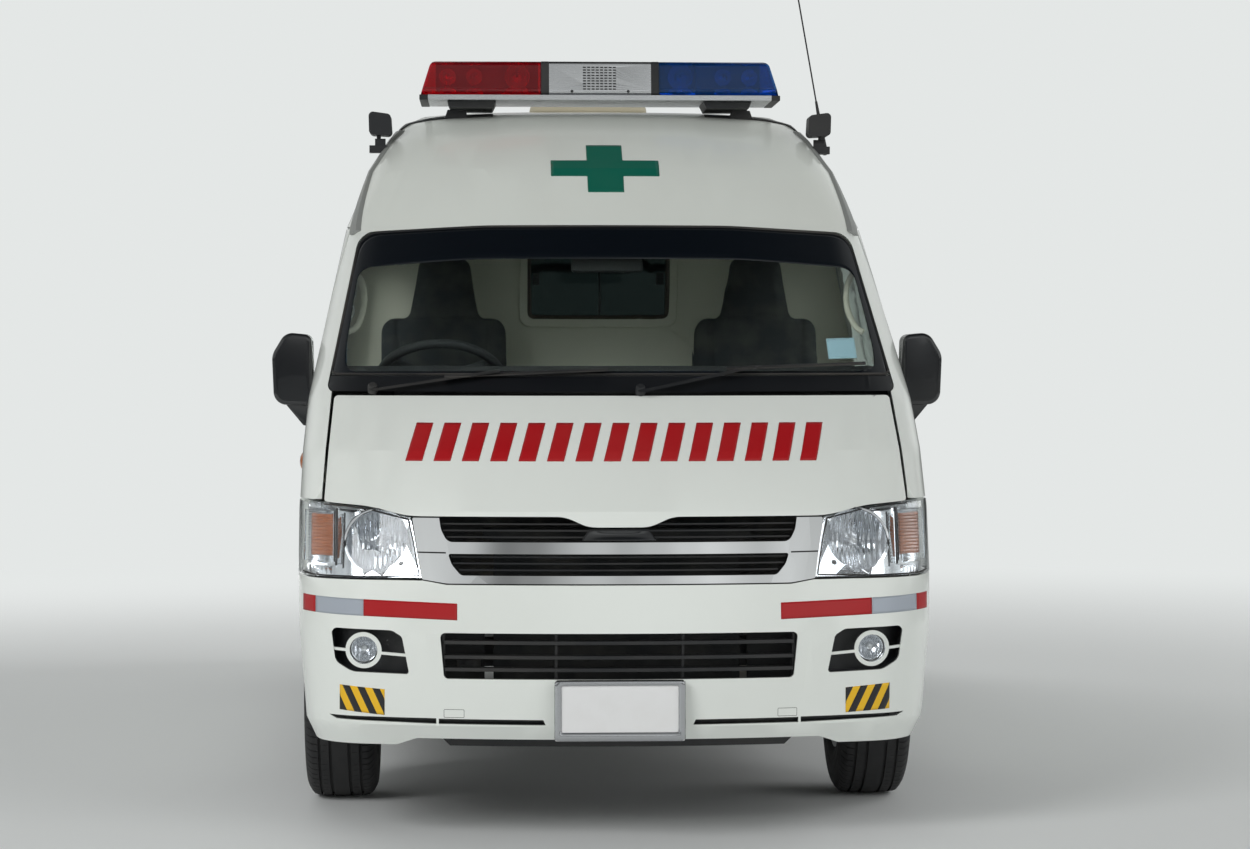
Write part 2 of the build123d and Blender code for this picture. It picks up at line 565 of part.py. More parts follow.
# Floor pan: footwell, seat platform, load floor, wheelhouses, rails, crossmembers and a towing eye
TOW_EYE = -420
with BuildPart() as floor_pan:
    box_at(-940, 940, 500, 830, FLOOR_TOP - FLOOR_PLATE, FLOOR_TOP)
    box_at(-940, 940, 805, 1745, PLATFORM_TOP - 25, PLATFORM_TOP)
    box_at(-940, 940, 805, 830, FLOOR_TOP - FLOOR_PLATE, PLATFORM_TOP)
    box_at(-940, 940, 1720, 1745, FLOOR_TOP - FLOOR_PLATE, PLATFORM_TOP)
    box_at(-940, 940, 1720, 5310, FLOOR_TOP - FLOOR_PLATE, FLOOR_TOP)
    for side, name in SIDES:
        rod_x(ARCH_LIP + 60, side * 498, side * 940, FRONT_AXLE, AXLE_HEIGHT)
        rod_x(ARCH_LIP + 60, side * 640, side * 940, REAR_AXLE, AXLE_HEIGHT)
    box_at(-940, 940, 500, 2000, 0, 440, mode=Mode.SUBTRACT)
    box_at(-940, 940, 3000, 5300, 0, 440, mode=Mode.SUBTRACT)
    for side, name in SIDES:
        rod_x(ARCH_LIP + 40, side * 518, side * 960, FRONT_AXLE, AXLE_HEIGHT, mode=Mode.SUBTRACT)
        rod_x(ARCH_LIP + 40, side * 660, side * 960, REAR_AXLE, AXLE_HEIGHT, mode=Mode.SUBTRACT)
        box_at(side * 390, side * 450, 330, 5200, 480, FLOOR_TOP - FLOOR_PLATE)
    for d in (1950, 2750, 3550, 4980):
        box_at(-860, 860, d, d + 60, 540, FLOOR_TOP - FLOOR_PLATE)
    for x in (-420, 420):
        for d in (1800, 3450):
            box_at(x - 40, x + 40, d - 40, d + 40, 450, 485)
    box_at(-450, 450, 330, 390, 480, 560)
    add(form(ROOM), mode=Mode.INTERSECT)
    box_at(TOW_EYE - 14, TOW_EYE + 14, 235, 335, 488, 512)
    rod_z(34, TOW_EYE, 235, 488, 512)
    rod_z(14, TOW_EYE, 235, 480, 520, mode=Mode.SUBTRACT)
    rod_x(ARCH_LIP + 40, -960, -518, FRONT_AXLE, AXLE_HEIGHT, mode=Mode.SUBTRACT)
save(floor_pan.part, "floor_pan")

# Partition behind the seats, with a framed window
with BuildPart() as bulkhead:
    box_at(-940, 940, 1790, 1815, FLOOR_TOP, ROOF_HEIGHT)
    add(form(ROOM), mode=Mode.INTERSECT)
    add(front_prism(grown(PARTITION_WINDOW, 30), 40, 1780, 1790))
    add(front_prism(grown(PARTITION_WINDOW, 0.5), 24, 1700, 1900), mode=Mode.SUBTRACT)
save(bulkhead.part, "bulkhead")

# Dashboard under the screen
with BuildPart() as dashboard:
    add(side_prism([(526, 1010), (526, 1262), (620, 1336), (800, 1336), (868, 1296), (880, 1200), (800, 1120),
                    (760, 1010)], 24, -900, 900))
    add(form(WALL + 10), mode=Mode.INTERSECT)
    for side, name in SIDES:
        box_at(side * 840, side * 900, 400, 1000, 900, 1500, mode=Mode.SUBTRACT)
        box_at(side * 640, side * 900, 400, 580, 900, 1500, mode=Mode.SUBTRACT)
    with Locations(Plane(origin=(-SEAT_SPACING / 2, back(985) - 13, 1273), z_dir=(0, -0.6, -0.8))):
        Cylinder(28, 240, align=(Align.CENTER, Align.CENTER, Align.MIN))
save(dashboard.part, "dashboard")

# Seat frames: the front seats' boxes and the bench's locker
with BuildPart() as seat_frames:
    for side, name in SIDES:
        cx = side * SEAT_SPACING / 2
        box_at(cx - 210, cx + 210, 1090, 1500, PLATFORM_TOP, 905)
    box_at(-880, -470, 2150, 3700, FLOOR_TOP, 1040)
    add(form(ROOM), mode=Mode.INTERSECT)
save(seat_frames.part, "seat_frames")

# Front seats: cushion and a leaned backrest that narrows into its head restraint
BACKREST = [(-205, 950), (205, 950), (228, 1300), (222, 1494), (132, 1498), (82, 1706), (-82, 1706),
            (-132, 1498), (-222, 1494), (-228, 1300)]
BACKREST_RADII = [24, 24, 300, 56, 30, 40, 40, 30, 56, 300]
seat_parts = []
for side, name in SIDES:
    cx = side * SEAT_SPACING / 2
    cushion = side_prism([(1045, 905.5), (1030, 985), (1060, 1015), (1480, 985), (1500, 905.5)], 22,
                         cx - 250, cx + 250)
    with BuildPart() as backrest:
        add(front_prism([(cx + x, z) for x, z in BACKREST], BACKREST_RADII, 1400, 1760))
        add(side_prism([(1502, 950), (1592, 1480), (1612, 1706), (1690, 1706), (1690, 1480), (1610, 950)], 24,
                       cx - 240, cx + 240), mode=Mode.INTERSECT)
    seat_parts += [cushion, backrest.part]
save(Part() + seat_parts, "front_seats")

# Steering wheel on its leaning column
WHEEL_X = -SEAT_SPACING / 2
with BuildPart() as steering_wheel:
    with BuildSketch(Plane(origin=(WHEEL_X, back(985), 1290), x_dir=(1, 0, 0), z_dir=(0, 0.6, 0.8))):
        Circle(30)
        for turn in (90, 210, 330):
            with Locations((0, 0)):
                with PolarLocations(95, 1, start_angle=turn):
                    Rectangle(170, 26)
    extrude(amount=14, both=True)
    with Locations(Plane(origin=(WHEEL_X, back(985), 1290), x_dir=(1, 0, 0), z_dir=(0, 0.6, 0.8))):
        Torus(188, 14)
save(steering_wheel.part, "steering_wheel")

# Engine block on its side between the seats, and the radiator behind the grille
with BuildPart() as engine_block:
    box_at(-290, 290, 960, 1640, 330, 770)
    fillet(engine_block.edges().filter_by(Axis.Y), 30)
save(engine_block.part, "engine_block")

with BuildPart() as radiator:
    box_at(-350, 350, 240, 290, 440, 850)
    box_at(-380, 380, 232, 300, 850, 880)
    box_at(-380, 380, 232, 300, 410, 440)
save(radiator.part, "radiator")

# Exhaust: pipe, silencer and a side outlet ahead of the rear wheel
with BuildPart() as exhaust:
    with BuildLine() as route:
        FilletPolyline((-250, back(1655), 400), (-250, back(2150), 300), (-250, back(3100), 300),
                       (-560, back(3330), 300), (-900, back(3560), 290), radius=80)
    with BuildSketch(Plane(origin=route.line @ 0, z_dir=route.line % 0)):
        Circle(24)
    sweep()
    rod_y(75, -250, 2350, 2950, 300)
save(exhaust.part, "exhaust")

# Fuel tank on the left, outside the rail
with BuildPart() as fuel_tank:
    box_at(480, 850, 2100, 2900, 330, 530)
    fillet(fuel_tank.edges().filter_by(Axis.Y), 40)
    for d in (2250, 2750):
        box_at(474, 856, d, d + 40, 324, 538)
save(fuel_tank.part, "fuel_tank")

# Front suspension, fixed here: lower arms, struts and an anti-roll bar
with BuildPart() as front_suspension:
    for side, name in SIDES:
        box_at(side * 380, side * 720, FRONT_AXLE - 28, FRONT_AXLE + 28, 232, 262)
        box_at(side * 380, side * 450, FRONT_AXLE - 150, FRONT_AXLE + 150, 225, 480)
        rod_z(42, side * 600, FRONT_AXLE, 262, 560)
        rod_z(24, side * 600, FRONT_AXLE, 560, 770)
    box_at(-380, 380, FRONT_AXLE - 60, FRONT_AXLE + 60, 225, 285)
save(front_suspension.part, "front_suspension")

# Rear axle, fixed here: tube, differential, leaf springs with their hangers and the propeller shaft
with BuildPart() as rear_axle:
    rod_x(46, -690, 690, REAR_AXLE, AXLE_HEIGHT)
    with Locations((0, back(REAR_AXLE), AXLE_HEIGHT)):
        Sphere(135)
    rod_y(34, 0, 1700, REAR_AXLE, AXLE_HEIGHT)
    for side, name in SIDES:
        rod_x(26, side * 690, side * 860, REAR_AXLE, AXLE_HEIGHT)
        add(side_prism([(3600, 470), (3600, 486), (REAR_AXLE, 316), (4870, 486), (4870, 470),
                        (REAR_AXLE, 290)], 0, side * 500, side * 560))
        add(side_prism([(3580, 450), (3580, 540), (3620, 540), (3620, 450)], 0, side * 492, side * 568))
        add(side_prism([(4850, 450), (4850, 610), (4890, 610), (4890, 450)], 0, side * 492, side * 568))
        box_at(side * 492, side * 568, REAR_AXLE - 70, REAR_AXLE + 70, 280, 390)
save(rear_axle.part, "rear_axle")

# Wheels: a tyre and a rim of each, with the knuckles in front
Wheel = namedtuple("Wheel", "name side distance")
WHEELS = [
    Wheel("front_left", 1, FRONT_AXLE),
    Wheel("front_right", -1, FRONT_AXLE),
    Wheel("rear_left", 1, REAR_AXLE),
    Wheel("rear_right", -1, REAR_AXLE),
]
for wheel in WHEELS:
    middle = wheel.side * TRACK / 2
    hub = Vector(middle, back(wheel.distance), AXLE_HEIGHT)
    section = Plane(origin=hub, x_dir=(wheel.side, 0, 0), z_dir=(0, -wheel.side, 0))
    axle_line = Axis(hub, (1, 0, 0))
    half = TYRE_WIDTH / 2
    rim_half = RIM_WIDTH / 2
    with BuildPart() as tyre:
        with BuildSketch(section):
            with BuildLine():
                FilletPolyline((-rim_half + 10, RIM_RADIUS), (-half, RIM_RADIUS + 42),
                               (-half, TYRE_RADIUS - 40), (-half + 24, TYRE_RADIUS - 4), (0, TYRE_RADIUS),
                               (half - 24, TYRE_RADIUS - 4), (half, TYRE_RADIUS - 40),
                               (half, RIM_RADIUS + 42), (rim_half - 10, RIM_RADIUS), radius=10)
                Line((rim_half - 10, RIM_RADIUS), (-rim_half + 10, RIM_RADIUS))
            make_face()
        revolve(axis=axle_line)
    save(tyre.part, "tyre_" + wheel.name)

    with BuildPart() as rim:
        with BuildSketch(section):
            with BuildLine():
                Polyline((-rim_half, RIM_RADIUS + 10), (-rim_half + 4, RIM_RADIUS + 10),
                         (-rim_half + 4, RIM_RADIUS - 0.5), (rim_half - 4, RIM_RADIUS - 0.5),
                         (rim_half - 4, RIM_RADIUS + 10), (rim_half, RIM_RADIUS + 10),
                         (rim_half, RIM_RADIUS - 10), (40, RIM_RADIUS - 16), (58, 150), (52, 95), (66, 82),
                         (66, STUB_RADIUS + 10), (54, STUB_RADIUS + 10), (42, 90), (48, 150),
                         (28, RIM_RADIUS - 16), (-rim_half, RIM_RADIUS - 12), close=True)
            make_face()
        revolve(axis=axle_line)
        with BuildSketch(Plane(origin=hub, x_dir=(0, 1, 0), z_dir=(1, 0, 0))):
            with PolarLocations(122, 8):
                Circle(16)
        extrude(amount=wheel.side * 90, mode=Mode.SUBTRACT)
    save(rim.part, "rim_" + wheel.name)

for side, name in SIDES:
    with BuildPart() as knuckle:
        box_at(side * (KINGPIN - 28), side * (KINGPIN + 18), FRONT_AXLE - 30, FRONT_AXLE + 30, 240, 450)
        rod_x(100, side * (KINGPIN + 18), side * (KINGPIN + 40), FRONT_AXLE, AXLE_HEIGHT)
        rod_x(STUB_RADIUS, side * (KINGPIN + 40), side * (KINGPIN + 100), FRONT_AXLE, AXLE_HEIGHT)
        box_at(side * (KINGPIN - 20), side * (KINGPIN + 10), FRONT_AXLE + 30, FRONT_AXLE + 120, 300, 325)
    save(knuckle.part, "knuckle_" + name)

# Spare wheel, flat under the rear floor
with BuildPart() as spare_wheel:
    with BuildSketch(Plane.XZ.offset(-back(4850))):
        with BuildLine():
            FilletPolyline((RIM_RADIUS, 262), (RIM_RADIUS + 40, 246), (TYRE_RADIUS - 50, 246),
                           (TYRE_RADIUS - 13, 270), (TYRE_RADIUS - 13, 420), (TYRE_RADIUS - 50, 444),
                           (RIM_RADIUS + 40, 444), (RIM_RADIUS, 428), radius=12)
            Polyline((RIM_RADIUS, 428), (RIM_RADIUS - 12, 428), (RIM_RADIUS - 12, 360), (30, 345), (30, 330),
                     (RIM_RADIUS - 12, 330), (RIM_RADIUS - 12, 262), (RIM_RADIUS, 262))
        make_face()
    revolve(axis=Axis((0, back(4850), 0), (0, 0, 1)))
save(spare_wheel.part, "spare_wheel")

# Warning light bar: a metal base, a loudspeaker box between two domes, and black ends, dividers and feet
BAR_D0, BAR_D1, BAR_Z = 1600, 1900, 2203
BAR_BASE = 16
BAR_HEIGHT = 128
BAR_HALF = LIGHT_BAR_LENGTH / 2
SPEAKER_HALF = 167
DIVIDER_HALF = 193
BAR_SIDE = [(BAR_D0 + 2, BAR_Z + BAR_BASE), (BAR_D0 + 22, BAR_Z + BAR_HEIGHT),
            (BAR_D1 - 22, BAR_Z + BAR_HEIGHT), (BAR_D1 - 2, BAR_Z + BAR_BASE)]
with BuildPart() as light_bar:
    box_at(-BAR_HALF + 28, BAR_HALF - 28, BAR_D0, BAR_D1, BAR_Z, BAR_Z + BAR_BASE)
    add(side_prism(BAR_SIDE, 14, -SPEAKER_HALF, SPEAKER_HALF))
    for row in range(9):
        for column in range(8):
            box_at(column * 14 - 56, column * 14 - 46, BAR_D0 - 10, BAR_D0 + 30,
                   BAR_Z + 34 + row * 9, BAR_Z + 38 + row * 9, mode=Mode.SUBTRACT)
save(light_bar.part, "light_bar")

with BuildPart() as dome:
    add(front_prism([(DIVIDER_HALF, BAR_Z + BAR_BASE + 0.5), (586, BAR_Z + BAR_BASE + 0.5),
                     (552, BAR_Z + BAR_HEIGHT), (DIVIDER_HALF, BAR_Z + BAR_HEIGHT)], [0, 0, 26, 0], BAR_D0,
                    BAR_D1))
    add(side_prism(BAR_SIDE, 22, 100, 700), mode=Mode.INTERSECT)
    add(front_prism([(DIVIDER_HALF + 3, BAR_Z + 20), (580, BAR_Z + 20), (547, BAR_Z + BAR_HEIGHT - 5),
                     (DIVIDER_HALF + 3, BAR_Z + BAR_HEIGHT - 5)], [0, 0, 24, 0], BAR_D0 + 26, BAR_D1 - 26),
        mode=Mode.SUBTRACT)
save(dome.part, "light_bar_blue_dome")
save(mirror(dome.part, about=Plane.YZ), "light_bar_red_dome")

# The bar's feet stand on straps that follow the roof down to the drip rails
STRAP_D = 1720
with BuildPart() as strap_blank:
    box_at(350, 800, STRAP_D, STRAP_D + 34, 2112, 2200)
with BuildPart() as bar_mount:
    add(side_prism(BAR_SIDE, 12, SPEAKER_HALF, DIVIDER_HALF))
    box_at(BAR_HALF - 28, BAR_HALF, BAR_D0 - 2, BAR_D1 + 2, BAR_Z - 1, BAR_Z + BAR_BASE)
    add(front_prism([(352, BAR_Z - 24), (490, BAR_Z - 24), (500, BAR_Z), (340, BAR_Z)], 0, BAR_D0 + 40,
                    BAR_D1 - 40))
    add(between(strap_blank.part, -5, -0.5))
    add(front_prism([(430, 2140), (520, 2120), (500, BAR_Z - 24), (440, BAR_Z - 24)], 0, STRAP_D,
                    STRAP_D + 34))
    add(form(-0.5), mode=Mode.SUBTRACT)
save(bar_mount.part + mirror(bar_mount.part, about=Plane.YZ), "light_bar_mounts")

# Spot lamps clamped to the drip rails, and the whip antenna
SPOT = (716, 2122)
with BuildPart() as roof_fittings:
    for side, name in SIDES:
        add(front_prism([(side * (SPOT[0] - 38), SPOT[1] - 40), (side * (SPOT[0] + 36), SPOT[1] - 36),
                         (side * (SPOT[0] + 38), SPOT[1] + 40), (side * (SPOT[0] - 34), SPOT[1] + 30)],
                        [14, 14, 14, 14], 1560, 1650))
        rod_z(7, side * 722, 1600, 2030, SPOT[1] - 30)
        box_at(side * 690, side * 752, 1584, 1616, 2028, 2052)
        box_at(side * 700, side * 734, 1590, 1610, 2052, 2074)
    with Locations((742, back(1650), 2042)):
        Sphere(15)
    with Locations(Location((742, back(1650), 2042), (0, -10, 0))):
        Cone(10, 4, 165, align=(Align.CENTER, Align.CENTER, Align.MIN))
        Cylinder(2.5, 960, align=(Align.CENTER, Align.CENTER, Align.MIN))
    box_at(690, 750, 1634, 1666, 2030, 2046)
    add(form(-9.5), mode=Mode.SUBTRACT)
save(roof_fittings.part, "roof_fittings")

# Wipers parked low on the screen: a tapered arm and a blade on each
WIPERS = [
    [[(-712, 1272), (-690, 1268), (-330, 1322), (-332, 1330)],
     [(-492, 1304), (-492, 1314), (-18, 1334), (-18, 1324)]],
    [[(62, 1268), (84, 1264), (416, 1334), (414, 1342)],
     [(330, 1327), (330, 1337), (752, 1352), (752, 1342)]],
]
with BuildPart() as wipers:
    for arm, blade in WIPERS:
        add(between(front_prism(arm, 0, 200, 800), -26, -14))
        add(between(front_prism(blade, 0, 200, 900), -14, -2))
save(wipers.part, "wipers")

# Stretcher with its mattress, and the bench's cushions
with BuildPart() as stretcher:
    box_at(-270, 270, 2950, 4850, 900, 930)
    for side, name in SIDES:
        rod_y(16, side * 275, 2950, 4850, 915)
        for d in (3150, 4650):
            box_at(side * 200, side * 230, d - 20, d + 20, 690, 900)
    for d in (3150, 4650):
        box_at(-230, 230, d - 18, d + 18, 740, 770)
    for side, name in SIDES:
        for d in (3150, 4650):
            rod_x(50, side * 200, side * 230, d, 690)
save(stretcher.part, "stretcher")

with BuildPart() as mattress:
    box_at(-255, 255, 2970, 4830, 930.5, 995)
    add(side_prism([(2970, 995), (2970, 1080), (3010, 1110), (3480, 995)], 0, -255, 255))
save(mattress.part, "mattress")

with BuildPart() as bench_cushions:
    box_at(-880, -470, 2150, 3700, 1040.5, 1110)
    box_at(-880, -800, 2150, 3700, 1110, 1400)
    add(form(ROOM), mode=Mode.INTERSECT)
save(bench_cushions.part, "bench_cushions")
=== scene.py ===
import json
from math import cos, pi, radians, sin

import bmesh
import bpy
import numpy as np
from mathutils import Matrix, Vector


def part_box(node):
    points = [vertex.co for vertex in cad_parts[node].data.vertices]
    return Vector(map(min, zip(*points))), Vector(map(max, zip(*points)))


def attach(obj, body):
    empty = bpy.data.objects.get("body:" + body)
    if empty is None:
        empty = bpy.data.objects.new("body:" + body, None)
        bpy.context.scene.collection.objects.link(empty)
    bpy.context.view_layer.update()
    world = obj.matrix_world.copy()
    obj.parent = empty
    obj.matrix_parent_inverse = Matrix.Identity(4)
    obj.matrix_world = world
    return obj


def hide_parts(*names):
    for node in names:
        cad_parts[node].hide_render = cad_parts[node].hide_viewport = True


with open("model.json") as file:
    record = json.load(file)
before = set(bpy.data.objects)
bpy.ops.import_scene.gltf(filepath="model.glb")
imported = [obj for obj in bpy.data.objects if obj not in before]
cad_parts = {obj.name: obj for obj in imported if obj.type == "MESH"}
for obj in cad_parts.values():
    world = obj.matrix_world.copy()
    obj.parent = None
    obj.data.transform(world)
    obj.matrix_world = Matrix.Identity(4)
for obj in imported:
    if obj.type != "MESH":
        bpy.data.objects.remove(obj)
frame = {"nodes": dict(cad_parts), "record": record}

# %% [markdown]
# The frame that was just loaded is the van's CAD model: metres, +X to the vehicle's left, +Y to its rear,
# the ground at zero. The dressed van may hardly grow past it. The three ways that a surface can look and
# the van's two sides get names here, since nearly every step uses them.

FRONT, REAR, TOP = (0, -1, 0), (0, 1, 0), (0, 0, 1)
SIDES = ((1, "left"), (-1, "right"))
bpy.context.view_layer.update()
nodes = frame["nodes"]

# %% [markdown]
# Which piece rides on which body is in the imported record. Every new piece names its body, so that doors,
# wheels and lids carry their own trim when they move.

# %% Bodies of the record
body_of_node = {}
for body_name, members in frame["record"]["behaviour"]["bodies"].items():
    for member in members:
        body_of_node[member] = body_name

# %% [markdown]
# Materials are built of nodes, and nodes that several materials share are kept in a group with named
# inputs and outputs. One helper makes an empty group, and the other makes a node that does a single sum.

# %% Helpers for shader nodes


def new_group(name, inputs, outputs):
    """An empty shader group with its sockets and the two end nodes."""
    group = bpy.data.node_groups.new(name, "ShaderNodeTree")
    for label, kind, value in inputs:
        socket = group.interface.new_socket(label, in_out="INPUT", socket_type=kind)
        socket.default_value = value
    for label, kind in outputs:
        group.interface.new_socket(label, in_out="OUTPUT", socket_type=kind)
    return group, group.nodes.new("NodeGroupInput"), group.nodes.new("NodeGroupOutput")


def math_node(tree, kind, first, second):
    """A Math node whose two inputs are links or numbers."""
    node = tree.nodes.new("ShaderNodeMath")
    node.operation = kind
    for socket, value in zip(node.inputs, (first, second)):
        if isinstance(value, (int, float)):
            socket.default_value = value
        else:
            tree.links.new(value, socket)
    return node.outputs[0]


print("two helpers for shader nodes")

# %% [markdown]
# Paint, rubber and plastic all pick up dust and small changes of gloss. One node group works that out
# from two noises in Object coordinates, and each material puts in its own colours and amounts. Dust
# begins where the coarse noise passes the first number, and is full at the second.

# %% Node group: weathering
DUST_FROM, DUST_FULL = 0.42, 0.72


def build_weathering():
    """Colour mixed towards dust where a coarse noise is high; roughness and height follow a fine one."""
    group, given, result = new_group(
        "weathering",
        [("Color", "NodeSocketColor", (1, 1, 1, 1)), ("Dust Color", "NodeSocketColor", (0.5, 0.45, 0.4, 1)),
         ("Dust", "NodeSocketFloat", 0.1), ("Patch Scale", "NodeSocketFloat", 3.0),
         ("Grain Scale", "NodeSocketFloat", 300.0), ("Roughness", "NodeSocketFloat", 0.4),
         ("Spread", "NodeSocketFloat", 0.1), ("Stretch", "NodeSocketVector", (1, 1, 1))],
        [("Color", "NodeSocketColor"), ("Roughness", "NodeSocketFloat"), ("Height", "NodeSocketFloat")])
    link = group.links.new
    place = group.nodes.new("ShaderNodeTexCoord")
    patch = group.nodes.new("ShaderNodeTexNoise")
    patch.inputs["Detail"].default_value = 5
    grain = group.nodes.new("ShaderNodeTexNoise")
    grain.inputs["Detail"].default_value = 2
    drawn = group.nodes.new("ShaderNodeVectorMath")
    drawn.operation = "MULTIPLY"
    link(place.outputs["Object"], drawn.inputs[0])
    link(given.outputs["Stretch"], drawn.inputs[1])
    link(place.outputs["Object"], patch.inputs["Vector"])
    link(drawn.outputs[0], grain.inputs["Vector"])
    for noise, scale in ((patch, "Patch Scale"), (grain, "Grain Scale")):
        link(given.outputs[scale], noise.inputs["Scale"])
    above = group.nodes.new("ShaderNodeMapRange")
    above.inputs["From Min"].default_value = DUST_FROM
    above.inputs["From Max"].default_value = DUST_FULL
    link(patch.outputs["Fac"], above.inputs["Value"])
    amount = math_node(group, "MULTIPLY", above.outputs[0], given.outputs["Dust"])
    mix = group.nodes.new("ShaderNodeMix")
    mix.data_type = "RGBA"
    link(amount, mix.inputs[0])
    link(given.outputs["Color"], mix.inputs[6])
    link(given.outputs["Dust Color"], mix.inputs[7])
    link(mix.outputs[2], result.inputs["Color"])
    swing = math_node(group, "MULTIPLY", math_node(group, "SUBTRACT", grain.outputs["Fac"], 0.5),
                      given.outputs["Spread"])
    rough = math_node(group, "ADD", math_node(group, "ADD", given.outputs["Roughness"], swing),
                      math_node(group, "MULTIPLY", amount, 0.5))
    link(rough, result.inputs["Roughness"])
    link(grain.outputs["Fac"], result.inputs["Height"])
    return group


weathering = build_weathering()
print("group", weathering.name, len(weathering.nodes), "nodes")

# %% [markdown]
# A finish is then one Principled BSDF. Values that are the same all over sit on its own sockets, and only
# colour, roughness and bump come from the group. Clear glass lets most of the lamps' light pass, so a
# shadow ray finds it four fifths open; a brushed sheet has its grain stretched along x.

# %% One finish
GLASS_FROM, CLEAR_TO_LAMPS = 0.8, 0.8
COAT_ROUGHNESS, RELIEF = 0.04, 0.4


def finish(name, color, roughness=0.4, metallic=0.0, coat=0.0, dust=0.05, dust_color=(0.42, 0.38, 0.32),
           patch=3.0, grain=300.0, spread=0.06, bump=0.0, transmission=0.0, emission=0.0, stretch=(1, 1, 1)):
    """A material for one kind of surface, with its dust, its change of gloss and its fine grain."""
    material = bpy.data.materials.new(name)
    material.use_nodes = True
    tree = material.node_tree
    shader = tree.nodes["Principled BSDF"]
    worn = tree.nodes.new("ShaderNodeGroup")
    worn.node_tree = weathering
    worn.inputs["Color"].default_value = (*color, 1)
    worn.inputs["Dust Color"].default_value = (*dust_color, 1)
    worn.inputs["Dust"].default_value = dust
    worn.inputs["Patch Scale"].default_value = patch
    worn.inputs["Grain Scale"].default_value = grain
    worn.inputs["Roughness"].default_value = roughness
    worn.inputs["Spread"].default_value = spread
    worn.inputs["Stretch"].default_value = stretch
    tree.links.new(worn.outputs["Color"], shader.inputs["Base Color"])
    tree.links.new(worn.outputs["Roughness"], shader.inputs["Roughness"])
    shader.inputs["Metallic"].default_value = metallic
    shader.inputs["Coat Weight"].default_value = coat
    shader.inputs["Coat Roughness"].default_value = COAT_ROUGHNESS
    shader.inputs["Transmission Weight"].default_value = transmission
    if transmission > GLASS_FROM:
        rays = tree.nodes.new("ShaderNodeLightPath")
        passed = math_node(tree, "MULTIPLY", rays.outputs["Is Shadow Ray"], CLEAR_TO_LAMPS)
        tree.links.new(math_node(tree, "SUBTRACT", 1.0, passed), shader.inputs["Alpha"])
    if emission:
        shader.inputs["Emission Color"].default_value = (*color, 1)
        shader.inputs["Emission Strength"].default_value = emission
    if bump:
        relief = tree.nodes.new("ShaderNodeBump")
        relief.inputs["Strength"].default_value = RELIEF
        relief.inputs["Distance"].default_value = bump
        tree.links.new(worn.outputs["Height"], relief.inputs["Height"])
        tree.links.new(relief.outputs["Normal"], shader.inputs["Normal"])
    return material


print("clear glass lets", CLEAR_TO_LAMPS, "of the lamps' light pass")

# %% [markdown]
# The body is white enamel under clear lacquer; the tall roof is a moulding in gelcoat, a little duller
# and greener. Chrome and glass have no colour of their own worth speaking of, so all they get is a low
# roughness.

# %% Paint, glass and chrome
white_paint = finish("white_paint", (0.80, 0.83, 0.79), 0.30, coat=1.0, dust=0.05, patch=2.0, bump=0.00004)
roof_gelcoat = finish("roof_gelcoat", (0.78, 0.81, 0.76), 0.34, coat=0.7, dust=0.10, patch=1.5, bump=0.0001,
                      grain=60)
window_glass = finish("window_glass", (0.80, 0.88, 0.85), 0.02, dust=0.0, spread=0.0, transmission=1.0)
privacy_glass = finish("privacy_glass", (0.20, 0.25, 0.25), 0.03, dust=0.0, spread=0.0, transmission=1.0)
chrome = finish("chrome", (0.93, 0.94, 0.95), 0.04, metallic=1.0, dust=0.01, spread=0.03)
print("roof gelcoat, glass and chrome beside", white_paint.name)

# %% [markdown]
# The black parts differ by gloss alone: grained plastic, lacquered plastic, rubber lips and tyres. A fine
# bump and more dust make rubber dull, and the steel wheels are painted silver.

# %% Black plastic, rubber and wheel paint
black_plastic = finish("black_plastic", (0.018, 0.019, 0.021), 0.45, dust=0.06, bump=0.0001, grain=900)
gloss_black = finish("gloss_black", (0.010, 0.011, 0.013), 0.16, coat=0.8, dust=0.02)
seal_rubber = finish("seal_rubber", (0.016, 0.016, 0.017), 0.62, dust=0.12, grain=500, bump=0.0001)
tyre_rubber = finish("tyre_rubber", (0.022, 0.022, 0.023), 0.72, dust=0.12, dust_color=(0.12, 0.115, 0.11),
                     patch=9.0, grain=400, bump=0.0002)
wheel_paint = finish("wheel_paint", (0.45, 0.46, 0.47), 0.38, metallic=0.7, dust=0.15, patch=12)
print("rubber and plastic beside", wheel_paint.name)

# %% [markdown]
# Lamps are mirrors behind coloured glass. The domes and the clear lenses transmit, so the beacons and
# reflectors show through them; the tail lamps have no inside, so they are a gloss colour.

# %% Lamp finishes
lamp_mirror = finish("lamp_mirror", (0.80, 0.82, 0.85), 0.10, metallic=1.0, dust=0.0)
clear_lens = finish("clear_lens", (0.95, 0.97, 0.98), 0.01, dust=0.0, spread=0.0, transmission=1.0)
amber_lens = finish("amber_lens", (0.62, 0.17, 0.035), 0.12, dust=0.0, transmission=0.5)
tail_red = finish("tail_red", (0.50, 0.010, 0.012), 0.12, coat=0.6, dust=0.05, patch=6)
red_dome = finish("red_dome", (0.62, 0.008, 0.03), 0.04, dust=0.0, spread=0.0, transmission=0.9)
blue_dome = finish("blue_dome", (0.015, 0.16, 0.50), 0.04, dust=0.0, spread=0.0, transmission=0.9)
print("lamp finishes, the last one", blue_dome.name)

# %% [markdown]
# What is left is the plate, the dusty underside, the linings of cab and room, bare castings, and the
# brushed metal of the light bar, whose grain is drawn out along x by the stretch.

